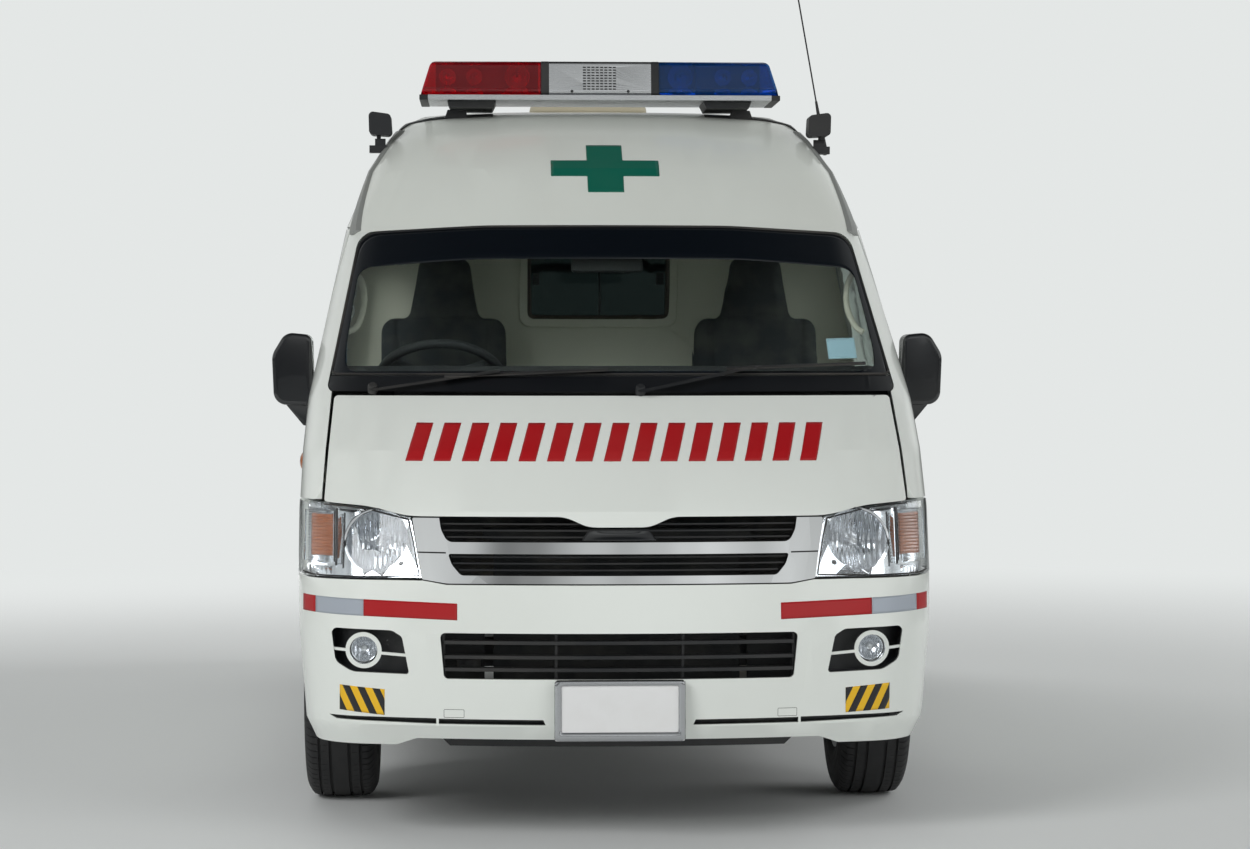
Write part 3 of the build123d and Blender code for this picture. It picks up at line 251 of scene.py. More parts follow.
# %% Underside, linings and metal
plate_paint = finish("plate_paint", (0.80, 0.80, 0.80), 0.35, coat=0.4, dust=0.05, patch=20)
underbody = finish("underbody", (0.055, 0.055, 0.058), 0.65, dust=0.45, patch=5, grain=120, bump=0.0004)
cream_lining = finish("cream_lining", (0.70, 0.67, 0.57), 0.55, dust=0.05, bump=0.0002, grain=700)
dash_plastic = finish("dash_plastic", (0.030, 0.031, 0.034), 0.62, dust=0.06, bump=0.0003, grain=900)
cast_metal = finish("cast_metal", (0.33, 0.34, 0.35), 0.55, metallic=0.8, dust=0.35, patch=8, bump=0.0004)
rail_trim = finish("rail_trim", (0.26, 0.27, 0.26), 0.38, dust=0.08, patch=8, grain=700)
bar_metal = finish("bar_metal", (0.76, 0.77, 0.79), 0.27, metallic=1.0, dust=0.06, patch=10, grain=900,
                   spread=0.35, bump=0.00003, stretch=(0.015, 1, 1))
radiator_core = finish("radiator_core", (0.020, 0.022, 0.024), 0.55, metallic=0.2, dust=0.10, patch=7,
                       grain=420, bump=0.0006, stretch=(0.01, 1, 1))
cowl_black = finish("cowl_black", (0.007, 0.008, 0.010), 0.42, dust=0.05, dust_color=(0.06, 0.06, 0.06),
                    bump=0.0001)
print(len(bpy.data.materials), "materials")

# %% [markdown]
# The CAD panels arrive as loose triangles. Each painted or moulded one is copied, its doubled corners are
# merged, flat neighbours are dissolved, and a small bevel gives its edges the radius that real pressings
# have. The copy then stands in for the CAD node on the same body. Angles are in degrees here.

# %% A copy that stands in for a CAD node
SAME_POINT, SAME_PLANE = 0.00002, 0.4
SHARP, BEVEL_FROM = 32, 40


def dress(node, material, bevel):
    """A merged, smooth copy of a CAD node with rounded edges, in its place on its own body."""
    source = nodes[node]
    mesh = source.data.copy()
    mesh.name = node + "_skin"
    shape = bmesh.new()
    shape.from_mesh(mesh)
    bmesh.ops.remove_doubles(shape, verts=shape.verts, dist=SAME_POINT)
    bmesh.ops.dissolve_limit(shape, angle_limit=radians(SAME_PLANE), verts=shape.verts, edges=shape.edges)
    shape.to_mesh(mesh)
    shape.free()
    mesh.materials.clear()
    mesh.materials.append(material)
    mesh.shade_smooth()
    mesh.set_sharp_from_angle(angle=radians(SHARP))
    piece = bpy.data.objects.new(node + "_skin", mesh)
    bpy.context.scene.collection.objects.link(piece)
    if bevel:
        edge = piece.modifiers.new("edge", "BEVEL")
        edge.width = bevel
        edge.segments = 2
        edge.limit_method = "ANGLE"
        edge.angle_limit = radians(BEVEL_FROM)
        edge.harden_normals = True
    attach(piece, body_of_node[node])
    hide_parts(node)
    return piece


print("edges stay hard above", SHARP, "degrees and get a bevel above", BEVEL_FROM)

# %% [markdown]
# Sheet metal, mouldings and castings take a bevel, each about as wide as the radius that its real edge
# has: three millimetres on the bumpers, two on the doors, less on slats and trim.

# %% Panels and mouldings
DRESSED = [
    ("cab_frame", white_paint, 0.002), ("side_panel_left", white_paint, 0.002),
    ("side_panel_right", white_paint, 0.002), ("sliding_door", white_paint, 0.002),
    ("high_roof", roof_gelcoat, 0.002), ("front_door_left", white_paint, 0.002),
    ("front_door_right", white_paint, 0.002), ("tailgate", white_paint, 0.002),
    ("bonnet", white_paint, 0.002), ("front_bumper", white_paint, 0.003),
    ("rear_bumper", white_paint, 0.003), ("grille", chrome, 0.003), ("grille_ribs", black_plastic, 0.001),
    ("bumper_inserts", black_plastic, 0.001), ("drip_rails", rail_trim, 0.001),
    ("mirror_left", gloss_black, 0.004), ("mirror_right", gloss_black, 0.004),
    ("light_bar", bar_metal, 0.001), ("number_plate", plate_paint, 0.0005),
    ("dashboard", dash_plastic, 0.004), ("seat_frames", dash_plastic, 0.004),
    ("bulkhead", cream_lining, 0.002), ("cowl_panel", cowl_black, 0.002),
    ("light_bar_mounts", black_plastic, 0.002), ("stretcher", bar_metal, 0.002),
    ("floor_pan", underbody, 0.001), ("firewall", underbody, 0.001), ("engine_block", cast_metal, 0.002),
    ("radiator", radiator_core, 0.001), ("steering_wheel", dash_plastic, 0), ("tail_lamps", tail_red, 0.002),
    ("roof_fittings", black_plastic, 0), ("wipers", black_plastic, 0.001),
]
for node, material, bevel in DRESSED:
    dress(node, material, bevel)
print(len(DRESSED), "nodes dressed with a bevel")

# %% [markdown]
# Turned parts, tanks and axles are round already, and glass and lenses have to stay as thin as they are,
# so these only get their corners merged and their finish. The tyres wait for a tread of their own.

# %% Round parts, glass and rims
SMOOTH_NODES = [
    ("exhaust", cast_metal), ("fuel_tank", underbody), ("front_suspension", underbody),
    ("rear_axle", underbody), ("spare_wheel", tyre_rubber),
    ("knuckle_left", underbody), ("knuckle_right", underbody), ("headlamp_bowls", lamp_mirror),
    ("windscreen", window_glass), ("side_windows", privacy_glass), ("door_window_left", window_glass),
    ("door_window_right", window_glass), ("rear_window", privacy_glass), ("lamp_covers", clear_lens),
    ("light_bar_red_dome", red_dome), ("light_bar_blue_dome", blue_dome),
]
CORNERS = ("front_left", "front_right", "rear_left", "rear_right")
SMOOTH_NODES += [("rim_" + corner, wheel_paint) for corner in CORNERS]
for node, material in SMOOTH_NODES:
    dress(node, material, 0)
print(len(SMOOTH_NODES), "nodes dressed without")

# %% [markdown]
# New surfaces are arrays: a function of two parameters, worked out for all of its points at once. One
# could also model each piece by hand, but a formula can be changed later by changing one number. The
# faces of all such grids are numbered in one way, and a grid may close on itself, as a tube does.

# %% Faces of a grid


def grid_faces(rows, columns, wrap_rows=False, wrap_columns=False):
    """The corners of every quad of a grid, whose points are numbered along its rows."""
    row, column = np.meshgrid(np.arange(rows - (not wrap_rows)), np.arange(columns - (not wrap_columns)),
                              indexing="ij")
    next_row, next_column = (row + 1) % rows, (column + 1) % columns
    quads = [row * columns + column, row * columns + next_column, next_row * columns + next_column,
             next_row * columns + column]
    return np.stack(quads, axis=-1).reshape(-1, 4).tolist()


print("3 rows of 4 points have", len(grid_faces(3, 4)), "faces,",
      "and a tube of them", len(grid_faces(3, 4, wrap_columns=True)))

# %% [markdown]
# The next helper turns an array into a mesh on its body. A closed skin gets its faces turned outwards; a
# thin film is told which way it looks, and a Solidify modifier gives it its thickness.

# %% From arrays to meshes
from mathutils import Vector


def add_piece(name, points, faces, material, body, facing=None, thick=0.0, bevel=0.0, angle=35):
    """A mesh from an array of points, closed and turned outwards, or facing a way if it is a thin film."""
    mesh = bpy.data.meshes.new(name)
    mesh.from_pydata(np.asarray(points, float).reshape(-1, 3).tolist(), [], faces)
    shape = bmesh.new()
    shape.from_mesh(mesh)
    bmesh.ops.remove_doubles(shape, verts=shape.verts, dist=1e-6)
    bmesh.ops.dissolve_degenerate(shape, dist=1e-7, edges=shape.edges)
    bmesh.ops.recalc_face_normals(shape, faces=shape.faces)
    if facing is not None:
        looks = sum((face.normal * face.calc_area() for face in shape.faces), Vector((0, 0, 0)))
        if looks.dot(Vector(facing)) < 0:
            bmesh.ops.reverse_faces(shape, faces=shape.faces)
    shape.to_mesh(mesh)
    shape.free()
    mesh.materials.append(material)
    mesh.shade_smooth()
    mesh.set_sharp_from_angle(angle=radians(angle))
    piece = bpy.data.objects.new(name, mesh)
    bpy.context.scene.collection.objects.link(piece)
    if thick:
        skin = piece.modifiers.new("skin", "SOLIDIFY")
        skin.thickness = thick
        skin.offset = 1
    if bevel:
        edge = piece.modifiers.new("edge", "BEVEL")
        edge.width = bevel
        edge.segments = 2
        edge.limit_method = "ANGLE"
        edge.angle_limit = radians(BEVEL_FROM)
    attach(piece, body)
    return piece


print("new pieces go into the", bpy.context.scene.collection.name)

# %% [markdown]
# Each step ends by telling how much it has made, so that a step that makes nothing is noticed. Pieces
# that were told of before are remembered by name.

# %% Telling what a step made
told = set()


def tell(step):
    """Print how many pieces are new since the last call, and their faces before any modifier."""
    new = [piece for piece in bpy.data.objects if piece.type == "MESH" and piece.name not in told]
    told.update(piece.name for piece in new)
    print(step + ":", len(new), "pieces,", sum(len(piece.data.polygons) for piece in new), "faces")


tell("CAD nodes and their copies")

# %% [markdown]
# Printed film, rubber lips and borders lie on curved sheet metal. Their points are laid out flat beside
# the van and thrown along an axis onto the CAD surface. Blender's Shrinkwrap does the throw, and only the
# answer is kept, as an array. A count of points that met nothing is printed, as a film would be torn
# there.

# %% Points thrown on a surface
FAR = 4.0


def thrown(points, target, axis=1, sign=1, lift=0.0):
    """The points moved along one axis until each meets the CAD node, then `lift` back towards the start."""
    points = np.asarray(points, float)
    mesh = bpy.data.meshes.new("probe")
    mesh.from_pydata(points.reshape(-1, 3).tolist(), [], [])
    probe = bpy.data.objects.new("probe", mesh)
    bpy.context.scene.collection.objects.link(probe)
    wrap = probe.modifiers.new("wrap", "SHRINKWRAP")
    wrap.target = nodes[target]
    wrap.wrap_method = "PROJECT"
    wrap.use_project_x, wrap.use_project_y, wrap.use_project_z = axis == 0, axis == 1, axis == 2
    wrap.use_positive_direction = sign > 0
    wrap.use_negative_direction = sign < 0
    found = probe.evaluated_get(bpy.context.evaluated_depsgraph_get()).to_mesh()
    answer = np.empty(points.size)
    found.vertices.foreach_get("co", answer)
    bpy.data.objects.remove(probe)
    bpy.data.meshes.remove(mesh)
    answer = answer.reshape(points.shape)
    missed = int(np.isclose(answer[..., axis], points[..., axis]).sum())
    if missed:
        print("MISSED", target, missed, "of", points.size // 3)
    answer[..., axis] -= sign * lift
    return answer


print("the roof is", thrown([(0.1, 1.0, FAR)], "high_roof", axis=2, sign=-1)[0, 2].round(3), "m high")

# %% [markdown]
# Outlines are drawn flat, as seen from the front, the back or a side, and start well outside the van.
# Places along the van are written as distances behind its front bumper, as on a maker's drawing.

# %% Flat outlines and places along the van
HALF_LENGTH = 2.69


def front_points(outline):
    """Points (x, z) placed far in front of the van."""
    outline = np.asarray(outline, float)
    return np.stack([outline[..., 0], np.full(outline.shape[:-1], -FAR), outline[..., 1]], axis=-1)


def side_points(outline, side):
    """Points (y, z) placed far out on one side of the van."""
    outline = np.asarray(outline, float)
    return np.stack([np.full(outline.shape[:-1], side * FAR), outline[..., 0], outline[..., 1]], axis=-1)


def back(distance):
    """The y of a distance behind the front bumper, both in metres: half the length is ahead of the origin."""
    return distance - HALF_LENGTH


def laid_on(flat, target, looks, lift=0.0):
    """A grid of flat points on the node, seen from the front, the back or a side."""
    if looks[1]:
        points = front_points(flat) * (1, -looks[1], 1)
        return thrown(points, target, axis=1, sign=-looks[1], lift=lift)
    return thrown(side_points(flat, looks[0]), target, axis=0, sign=-looks[0], lift=lift)


bonnet_y = thrown(front_points([(0.1, 1.1)]), "bonnet")[0, 1]
print("1.1 m up, the bonnet is", (bonnet_y + HALF_LENGTH).round(3), "m behind the bumper")

# %% [markdown]
# Most films and borders begin as a drawn outline: a few corners, rounded by a curve, then spaced evenly
# so that the mesh has no long thin faces. A second outline moved inwards gives the other edge of a ring.

# %% Outlines


def rounded(corners, reach, steps=7):
    """Each corner b is the curve (1-s)^2 a + 2 s (1-s) b + s^2 c, with a and c `reach` before and after."""
    b = np.asarray(corners, float)
    reach = np.broadcast_to(reach, len(b))[:, None]
    before, after = np.roll(b, 1, axis=0) - b, np.roll(b, -1, axis=0) - b
    a = b + before / np.linalg.norm(before, axis=1, keepdims=True) * reach
    c = b + after / np.linalg.norm(after, axis=1, keepdims=True) * reach
    s = np.linspace(0, 1, steps)[None, :, None]
    curve = (1 - s) ** 2 * a[:, None] + 2 * s * (1 - s) * b[:, None] + s ** 2 * c[:, None]
    return curve.reshape(-1, b.shape[1])


def spaced(outline, count, closed=True):
    """`count` points at equal distances along an outline, found on its running length."""
    outline = np.asarray(outline, float)
    line = np.vstack([outline, outline[:1]]) if closed else outline
    run = np.r_[0, np.cumsum(np.linalg.norm(np.diff(line, axis=0), axis=1))]
    at = np.linspace(0, run[-1], count, endpoint=not closed)
    return np.column_stack([np.interp(at, run, line[:, k]) for k in range(line.shape[1])])


def shrunk(outline, by):
    """A closed outline moved inwards: each point goes `by` along the normal of its neighbours' chord."""
    chord = np.roll(outline, -1, axis=0) - np.roll(outline, 1, axis=0)
    normal = np.column_stack([-chord[:, 1], chord[:, 0]]) / np.linalg.norm(chord, axis=1, keepdims=True)
    area = (outline[:, 0] * np.roll(outline[:, 1], -1) - np.roll(outline[:, 0], -1) * outline[:, 1]).sum()
    return outline + normal * by * np.sign(area)


print("a square's rounded outline has", len(rounded([(0, 0), (1, 0), (1, 1), (0, 1)], 0.1)), "points")

# %% [markdown]
# A film is a ring between two outlines, or it closes on its own middle. The rows of points between the
# two edges let it follow the metal below.

# %% Films


def between_outlines(outer, inner, rows):
    """A grid whose first row is one outline and whose last row is the other: (1-t) outer + t inner."""
    t = np.linspace(0, 1, rows)[:, None, None]
    return (1 - t) * outer[None] + t * inner[None]


def film(name, outer, target, material, body="body", inner=None, rows=8, thick=0.0008, looks=FRONT):
    """A film from an outline in to another one, or in to its middle, laid on a node."""
    outer = np.asarray(outer, float)
    if inner is None:
        inner = np.broadcast_to(outer.mean(axis=0), outer.shape)
    laid = laid_on(between_outlines(outer, inner, rows), target, looks)
    return add_piece(name, laid, grid_faces(rows, len(outer), wrap_columns=True), material, body,
                     facing=looks, thick=thick)


print("3 rows between outlines of 4 points:", between_outlines(np.zeros((4, 2)), np.ones((4, 2)), 3).shape)

# %% [markdown]
# Rubber lips, bars and levers are one round section carried along a path. A curve object with a bevel
# could do it as well, but rings of points need no conversion to a mesh, and their radius may change on
# the way.

# %% Tubes


def tube(path, radius, sides=10, closed=False, up=(0, 0, 1)):
    """Rings round a path: p + r (cos a n + sin a m), with n and m square to the path's direction."""
    path = np.asarray(path, float)
    if closed:
        along = np.roll(path, -1, axis=0) - np.roll(path, 1, axis=0)
    else:
        along = np.gradient(path, axis=0)
    along /= np.linalg.norm(along, axis=1, keepdims=True)
    n = np.cross(along, up)
    n /= np.linalg.norm(n, axis=1, keepdims=True)
    m = np.cross(along, n)
    angle = np.linspace(0, 2 * pi, sides, endpoint=False)[None, :, None]
    radius = np.broadcast_to(radius, len(path))[:, None, None]
    rings = path[:, None] + radius * (np.cos(angle) * n[:, None] + np.sin(angle) * m[:, None])
    faces = grid_faces(len(path), sides, wrap_rows=closed, wrap_columns=True)
    if not closed:
        last = (len(path) - 1) * sides
        faces += [list(range(sides))[::-1], list(range(last, last + sides))]
    return rings.reshape(-1, 3), faces


print("a tube of three rings has", len(tube([(0, 0, 0), (1, 0, 0), (2, 0, 0)], 0.1)[1]), "faces")

# %% [markdown]
# A sticker with four corners is a strip between them. Its bars are cut from the same patch by a share of
# its width, so a slanted bar ends on the sticker's own edge. Several strips make one piece.

# %% Strips
STICKER_STEP = 0.008


def patch(corners, low=0, high=1, step=STICKER_STEP, target="front_bumper", looks=FRONT, lift=0.0, slant=0.0):
    """A strip of a four-cornered sticker: p(u, v) mixes the corners, and u runs low to high, plus slant v."""
    a, b, c, d = np.asarray(corners, float)
    wide = max(2, int(np.linalg.norm(b - a) * (high - low) / step) + 2)
    tall = max(2, int(np.linalg.norm(d - a) / step) + 2)
    v = np.linspace(0, 1, tall)[:, None, None]
    first, last = np.clip(low + slant * v, 0, 1), np.clip(high + slant * v, 0, 1)
    u = first + (last - first) * np.linspace(0, 1, wide)[None, :, None]
    flat = (1 - v) * ((1 - u) * a + u * b) + v * ((1 - u) * d + u * c)
    return laid_on(flat, target, looks, lift), grid_faces(tall, wide)


def gathered(parts):
    """Several (points, faces) pairs as one pair, the later faces renumbered by the points before them."""
    points, faces, count = [], [], 0
    for some_points, some_faces in parts:
        flat = np.asarray(some_points, float).reshape(-1, 3)
        points.append(flat)
        faces += [[corner + count for corner in face] for face in some_faces]
        count += len(flat)
    return np.vstack(points), faces


print("a strip's quads are about", STICKER_STEP * 1000, "mm wide")

# %% [markdown]
# The windscreen is bonded in. A black ceramic border is fired on its edge, deep at the top where it
# shades the driver, and a rubber lip closes the joint to the pillar. The border is a ring between the
# pane's own outline and an inner one with round corners. A blank pale card stands just behind the glass.

# %% Windscreen border, lip and card
LIP = 0.0042
screen_print = finish("screen_print", (0.004, 0.006, 0.009), 0.16, dust=0.0)
screen_edge = spaced(rounded([(-0.827, 1.315), (0.827, 1.315), (0.762, 1.748), (0.380, 1.7675),
                              (-0.380, 1.7675), (-0.762, 1.748)],
                             [0.008, 0.008, 0.058, 0.04, 0.04, 0.058]), 300)
clear_edge = spaced(rounded([(-0.782, 1.324), (0.782, 1.324), (0.787, 1.390), (0.762, 1.638), (0.40, 1.664),
                             (-0.40, 1.664), (-0.762, 1.638), (-0.787, 1.390)],
                            [0.030, 0.030, 0.03, 0.045, 0.1, 0.1, 0.045, 0.03]), 300)
film("screen_border", screen_edge, "windscreen", screen_print, inner=clear_edge, rows=10, thick=0.0005)
lip_path = thrown(front_points(spaced(screen_edge, 220)), "windscreen")
add_piece("screen_lip", *tube(lip_path, LIP, sides=8, closed=True, up=(0, 1, 0)), seal_rubber, "body")
card_blue = finish("card_blue", (0.46, 0.66, 0.78), 0.45, dust=0.02, patch=12)
card = patch(((0.6435, 1.357), (0.7316, 1.360), (0.7310, 1.421), (0.6440, 1.418)), target="windscreen",
             lift=-0.012)
add_piece("blank_card", *card, card_blue, "body", facing=FRONT, thick=0.0004)
tell("windscreen")

# %% [markdown]
# Everything printed on the white paint is film: the green cross on the roof's brow, and the band of red
# and silver tape on the bumper. They are cut with square corners, so their outlines are plain polygons. A
# picture could carry them as well, but a real film has an edge that catches the light.

# %% Cross and tapes
green_film = finish("green_film", (0.002, 0.125, 0.082), 0.42, coat=0.2, dust=0.03)
red_film = finish("red_film", (0.40, 0.006, 0.010), 0.45, dust=0.03)
silver_film = finish("silver_film", (0.42, 0.46, 0.52), 0.42, metallic=0.25, dust=0.04, grain=900,
                     bump=0.00005)

ARM, BAR, POST, REACH_UP = 0.1715, 0.0270, 0.0570, 0.0810
CROSS_PLACE = (0.004, 1.961)
cross = np.array([(-POST, REACH_UP), (POST, REACH_UP), (POST, BAR), (ARM, BAR), (ARM, -BAR), (POST, -BAR),
                  (POST, -REACH_UP), (-POST, -REACH_UP), (-POST, -BAR), (-ARM, -BAR), (-ARM, BAR),
                  (-POST, BAR)])
film("green_cross", spaced(cross + CROSS_PLACE, 260), "high_roof", green_film, rows=14)

TAPE_LOW, TAPE_HIGH, TAPE_SAG = 0.637, 0.683, 0.014
TAPES = [("red_inner", red_film, 0.450, 0.7115), ("silver", silver_film, 0.712, 0.8495),
         ("red_outer", red_film, 0.850, 0.888)]
for side, name in SIDES:
    for label, material, first, last in TAPES:
        x = np.array((first, last, last, first))
        sag = np.interp(x, (TAPES[0][2], TAPES[-1][3]), (0.0, TAPE_SAG))
        corners = np.column_stack([side * x, np.array((TAPE_LOW, TAPE_LOW, TAPE_HIGH, TAPE_HIGH)) + sag])
        add_piece(f"tape_{label}_{name}", *patch(corners), material, "body", facing=FRONT, thick=0.0006)
tell("cross and tapes")

# %% [markdown]
# At each corner of the bumper is a plate of black and yellow bars. The yellow ground is one film, and the
# bars are strips of another, a hair further out, which lean away from the van's middle at the top.

# %% Hazard plates
yellow_film = finish("yellow_film", (0.86, 0.50, 0.01), 0.40, coat=0.3, dust=0.04)
black_film = finish("black_film", (0.012, 0.012, 0.014), 0.40, coat=0.3, dust=0.04)
BAR_PITCH, BAR_WIDTH, BAR_LEAN = 0.335, 0.168, 0.28
HAZARD = {"right": ((-0.781, 0.379), (-0.654, 0.367), (-0.653, 0.440), (-0.780, 0.450)),
          "left": ((0.638, 0.369), (0.767, 0.375), (0.766, 0.449), (0.637, 0.440))}
for name, corners in HAZARD.items():
    lean = BAR_LEAN if name == "left" else -BAR_LEAN
    start = -BAR_LEAN if name == "left" else 0.0
    add_piece("hazard_ground_" + name, *patch(corners), yellow_film, "body", facing=FRONT, thick=0.0005)
    bars = [patch(corners, start + k * BAR_PITCH, start + k * BAR_PITCH + BAR_WIDTH, lift=0.0006, slant=lean)
            for k in range(4)]
    add_piece("hazard_bars_" + name, *gathered(bars), black_film, "body", facing=FRONT, thick=0.0003)
tell("hazard plates")

# %% [markdown]
# On the bonnet a row of plain slanted bars in red film takes the full width of the panel's middle. They
# are one piece, because film of one colour is cut and stuck down in one go.

# %% Bars on the bonnet
BARS_LOW, BARS_HIGH = 1.072, 1.178
bonnet_bars = []
for x in np.linspace(-0.56, 0.56, 15):
    corners = ((x - 0.039, BARS_LOW), (x + 0.009, BARS_LOW), (x + 0.039, BARS_HIGH), (x - 0.009, BARS_HIGH))
    bonnet_bars.append(patch(corners, target="bonnet", lift=0.0006))
add_piece("bonnet_bars", *gathered(bonnet_bars), red_film, "bonnet", facing=FRONT, thick=0.0005)
tell("bonnet")

# %% [markdown]
# Caps, knobs, dials and nuts are turned parts: a profile spun about its axis. What stands on one side of
# the van has a twin on the other, made from the mirrored points, so that no object needs a negative
# scale.

# %% Turned parts and pairs


def turned(profile, origin, axis, sides=48):
    """Rows of (radius r, height h) spun about an axis: o + h axis + r (cos a side + sin a other)."""
    profile, axis = np.asarray(profile, float), np.asarray(axis, float) / np.linalg.norm(axis)
    side = np.cross(axis, (0.0, 0.0, 1.0)) if abs(axis[2]) < 0.9 else np.array((1.0, 0.0, 0.0))
    side /= np.linalg.norm(side)
    other = np.cross(axis, side)
    angle = np.linspace(0, 2 * pi, sides, endpoint=False)[None, :, None]
    rings = np.asarray(origin, float) + profile[:, 1, None, None] * axis
    rings = rings + profile[:, 0, None, None] * (np.cos(angle) * side + np.sin(angle) * other)
    return rings.reshape(-1, 3), grid_faces(len(profile), sides, wrap_columns=True)


def mirrored(points):
    """The same points on the other side of the van."""
    return np.asarray(points, float) * (-1, 1, 1)


def paired(name, left, material, body="body", **more):
    """A piece on each side: the left one as given, the right one its mirror image."""
    points, faces = left
    add_piece(name + "_left", points, faces, material, body, **more)
    add_piece(name + "_right", mirrored(points), faces, material, body, **more)


print("a turned part has", len(turned([(0.1, 0), (0.1, 1), (0, 1)], (0, 0, 0), TOP)[1]), "faces")

# %% [markdown]
# Each headlamp is one clear cover over a round reflector and a corner lamp. The reflector is pressed with
# upright flutes that spread the beam: a paraboloid whose depth also swings with x. In front of its middle
# stands the bulb's cap. A bump map could draw the flutes, but only real ones break up the reflections.

# %% Headlamp reflectors
BEAM_X, BEAM_Z = 0.672, 0.846
BEAM_DEEP = back(0.262)


def fluted_bowl(x, y, z, radius, depth, pitch, swing, rings=26, sides=120):
    """A bowl open to the front: depth r^2/R^2, plus swing cos(2 pi x / pitch), faded at centre and rim."""
    r = np.linspace(0.004, radius, rings)[:, None]
    a = np.linspace(0, 2 * pi, sides, endpoint=False)[None, :]
    across, up = r * np.cos(a), r * np.sin(a)
    fade = np.sin(pi * np.clip((r - 0.02) / (radius - 0.02), 0, 1))
    ahead = depth * (r / radius) ** 2 + swing * fade * np.cos(2 * pi * across / pitch)
    points = np.stack([x + across, y - ahead, z + up], axis=-1)
    return points, grid_faces(rings, sides, wrap_columns=True)


beam = fluted_bowl(BEAM_X, BEAM_DEEP, BEAM_Z, radius=0.091, depth=0.080, pitch=0.0140, swing=0.0024)
paired("reflector", beam, lamp_mirror, facing=FRONT, thick=0.0012, angle=60)
rim_ring = [(0.0905, 0), (0.0955, -0.002), (0.0965, 0.004), (0.0945, 0.008), (0.0905, 0.006)]
paired("reflector_rim", turned(rim_ring + rim_ring[:1], (BEAM_X, back(0.184), BEAM_Z), FRONT, 72),
       lamp_mirror)
cap = [(0.0005, 0.050), (0.008, 0.049), (0.0105, 0.045), (0.0105, 0.028), (0.0065, 0.025), (0.0065, 0.0),
       (0.0005, 0)]
paired("bulb_cap", turned(cap, (BEAM_X, BEAM_DEEP, BEAM_Z), FRONT, 24), bar_metal)
dot = [(0.0005, 0.006), (0.0055, 0.006), (0.0085, 0.003), (0.0085, -0.01), (0.0005, -0.01)]
paired("lamp_screw", turned(dot, (0.606, back(0.139), 0.787), FRONT, 20), black_plastic)
tell("reflectors")

# %% [markdown]
# The corner lamp is a lens with level ribs over an amber bulb screen. Both are grids thrown on the cover
# from the front and set back behind it, and a cosine of the height makes the ribs.

# %% Corner lamps
RIB_PITCH = 0.0092
corner_z, corner_x = np.meshgrid(np.linspace(0.790, 0.932, 143), np.linspace(0.793, 0.884, 20), indexing="ij")
ribs = laid_on(np.stack([corner_x, corner_z], axis=-1), "lamp_covers", FRONT, lift=-0.010)
ribs[..., 1] += 0.0018 * np.cos(2 * pi * corner_z / RIB_PITCH)
paired("corner_lens", (ribs, grid_faces(*corner_z.shape)), clear_lens, facing=FRONT, thick=0.0012, angle=60)
amber_z, amber_x = np.meshgrid(np.linspace(0.806, 0.922, 59), np.linspace(0.799, 0.861, 14), indexing="ij")
amber = laid_on(np.stack([amber_x, amber_z], axis=-1), "lamp_covers", FRONT, lift=-0.017)
amber[..., 1] += 0.0020 * np.cos(2 * pi * amber_z / RIB_PITCH)
paired("corner_amber", (amber, grid_faces(*amber_z.shape)), amber_lens, facing=FRONT, thick=0.0025, angle=60)
divider_line = np.column_stack([np.full(40, 0.7895), np.linspace(0.782, 0.938, 40)])
divider = laid_on(divider_line, "lamp_covers", FRONT, lift=-0.008)
paired("lamp_divider", tube(divider, 0.0035, 8, up=(1, 0, 0)), dash_plastic)
tell("corner lamps")

# %% [markdown]
# A thin rubber seal lies in the joint between the cover and the metal. It is a tube along the cover's
# outline, thrown on the cover, so it follows every bend of it.

# %% Headlamp seals
lamp_line = spaced([(0.829, 0.950), (0.765, 0.947), (0.700, 0.939), (0.640, 0.925), (0.588, 0.913),
                    (0.5745, 0.860), (0.5635, 0.800), (0.5560, 0.758), (0.700, 0.754), (0.860, 0.754),
                    (0.888, 0.760)], 130, closed=False)
lamp_seal = thrown(front_points(lamp_line), "lamp_covers")
paired("lamp_seal", tube(lamp_seal, 0.0022, sides=6, up=(0, 1, 0)), seal_rubber)
tell("seals")

# %% [markdown]
# The fog lamps repeat the headlamp at a third of the size, in the middle of their white rings.

# %% Fog lamps
FOG_X, FOG_Z = 0.712, 0.549
fog_bowl = fluted_bowl(FOG_X, back(0.196), FOG_Z, radius=0.0365, depth=0.028, pitch=0.011, swing=0.0012,
                       rings=14, sides=60)
paired("fog_reflector", fog_bowl, lamp_mirror, facing=FRONT, thick=0.001, angle=60)
fog_cap = [(0.0005, 0.034), (0.007, 0.033), (0.009, 0.029), (0.009, 0.012), (0.0005, 0.012)]
paired("fog_bulb_cap", turned(fog_cap, (FOG_X, back(0.204), FOG_Z), FRONT, 20), bar_metal)
tell("fog lamps")

# %% [markdown]
# The blank number plate sits in a pressed steel surround. Its section rises from the outer edge, runs
# level and falls again at the plate, so it is a ring between two rounded outlines whose depth follows a
# small table.

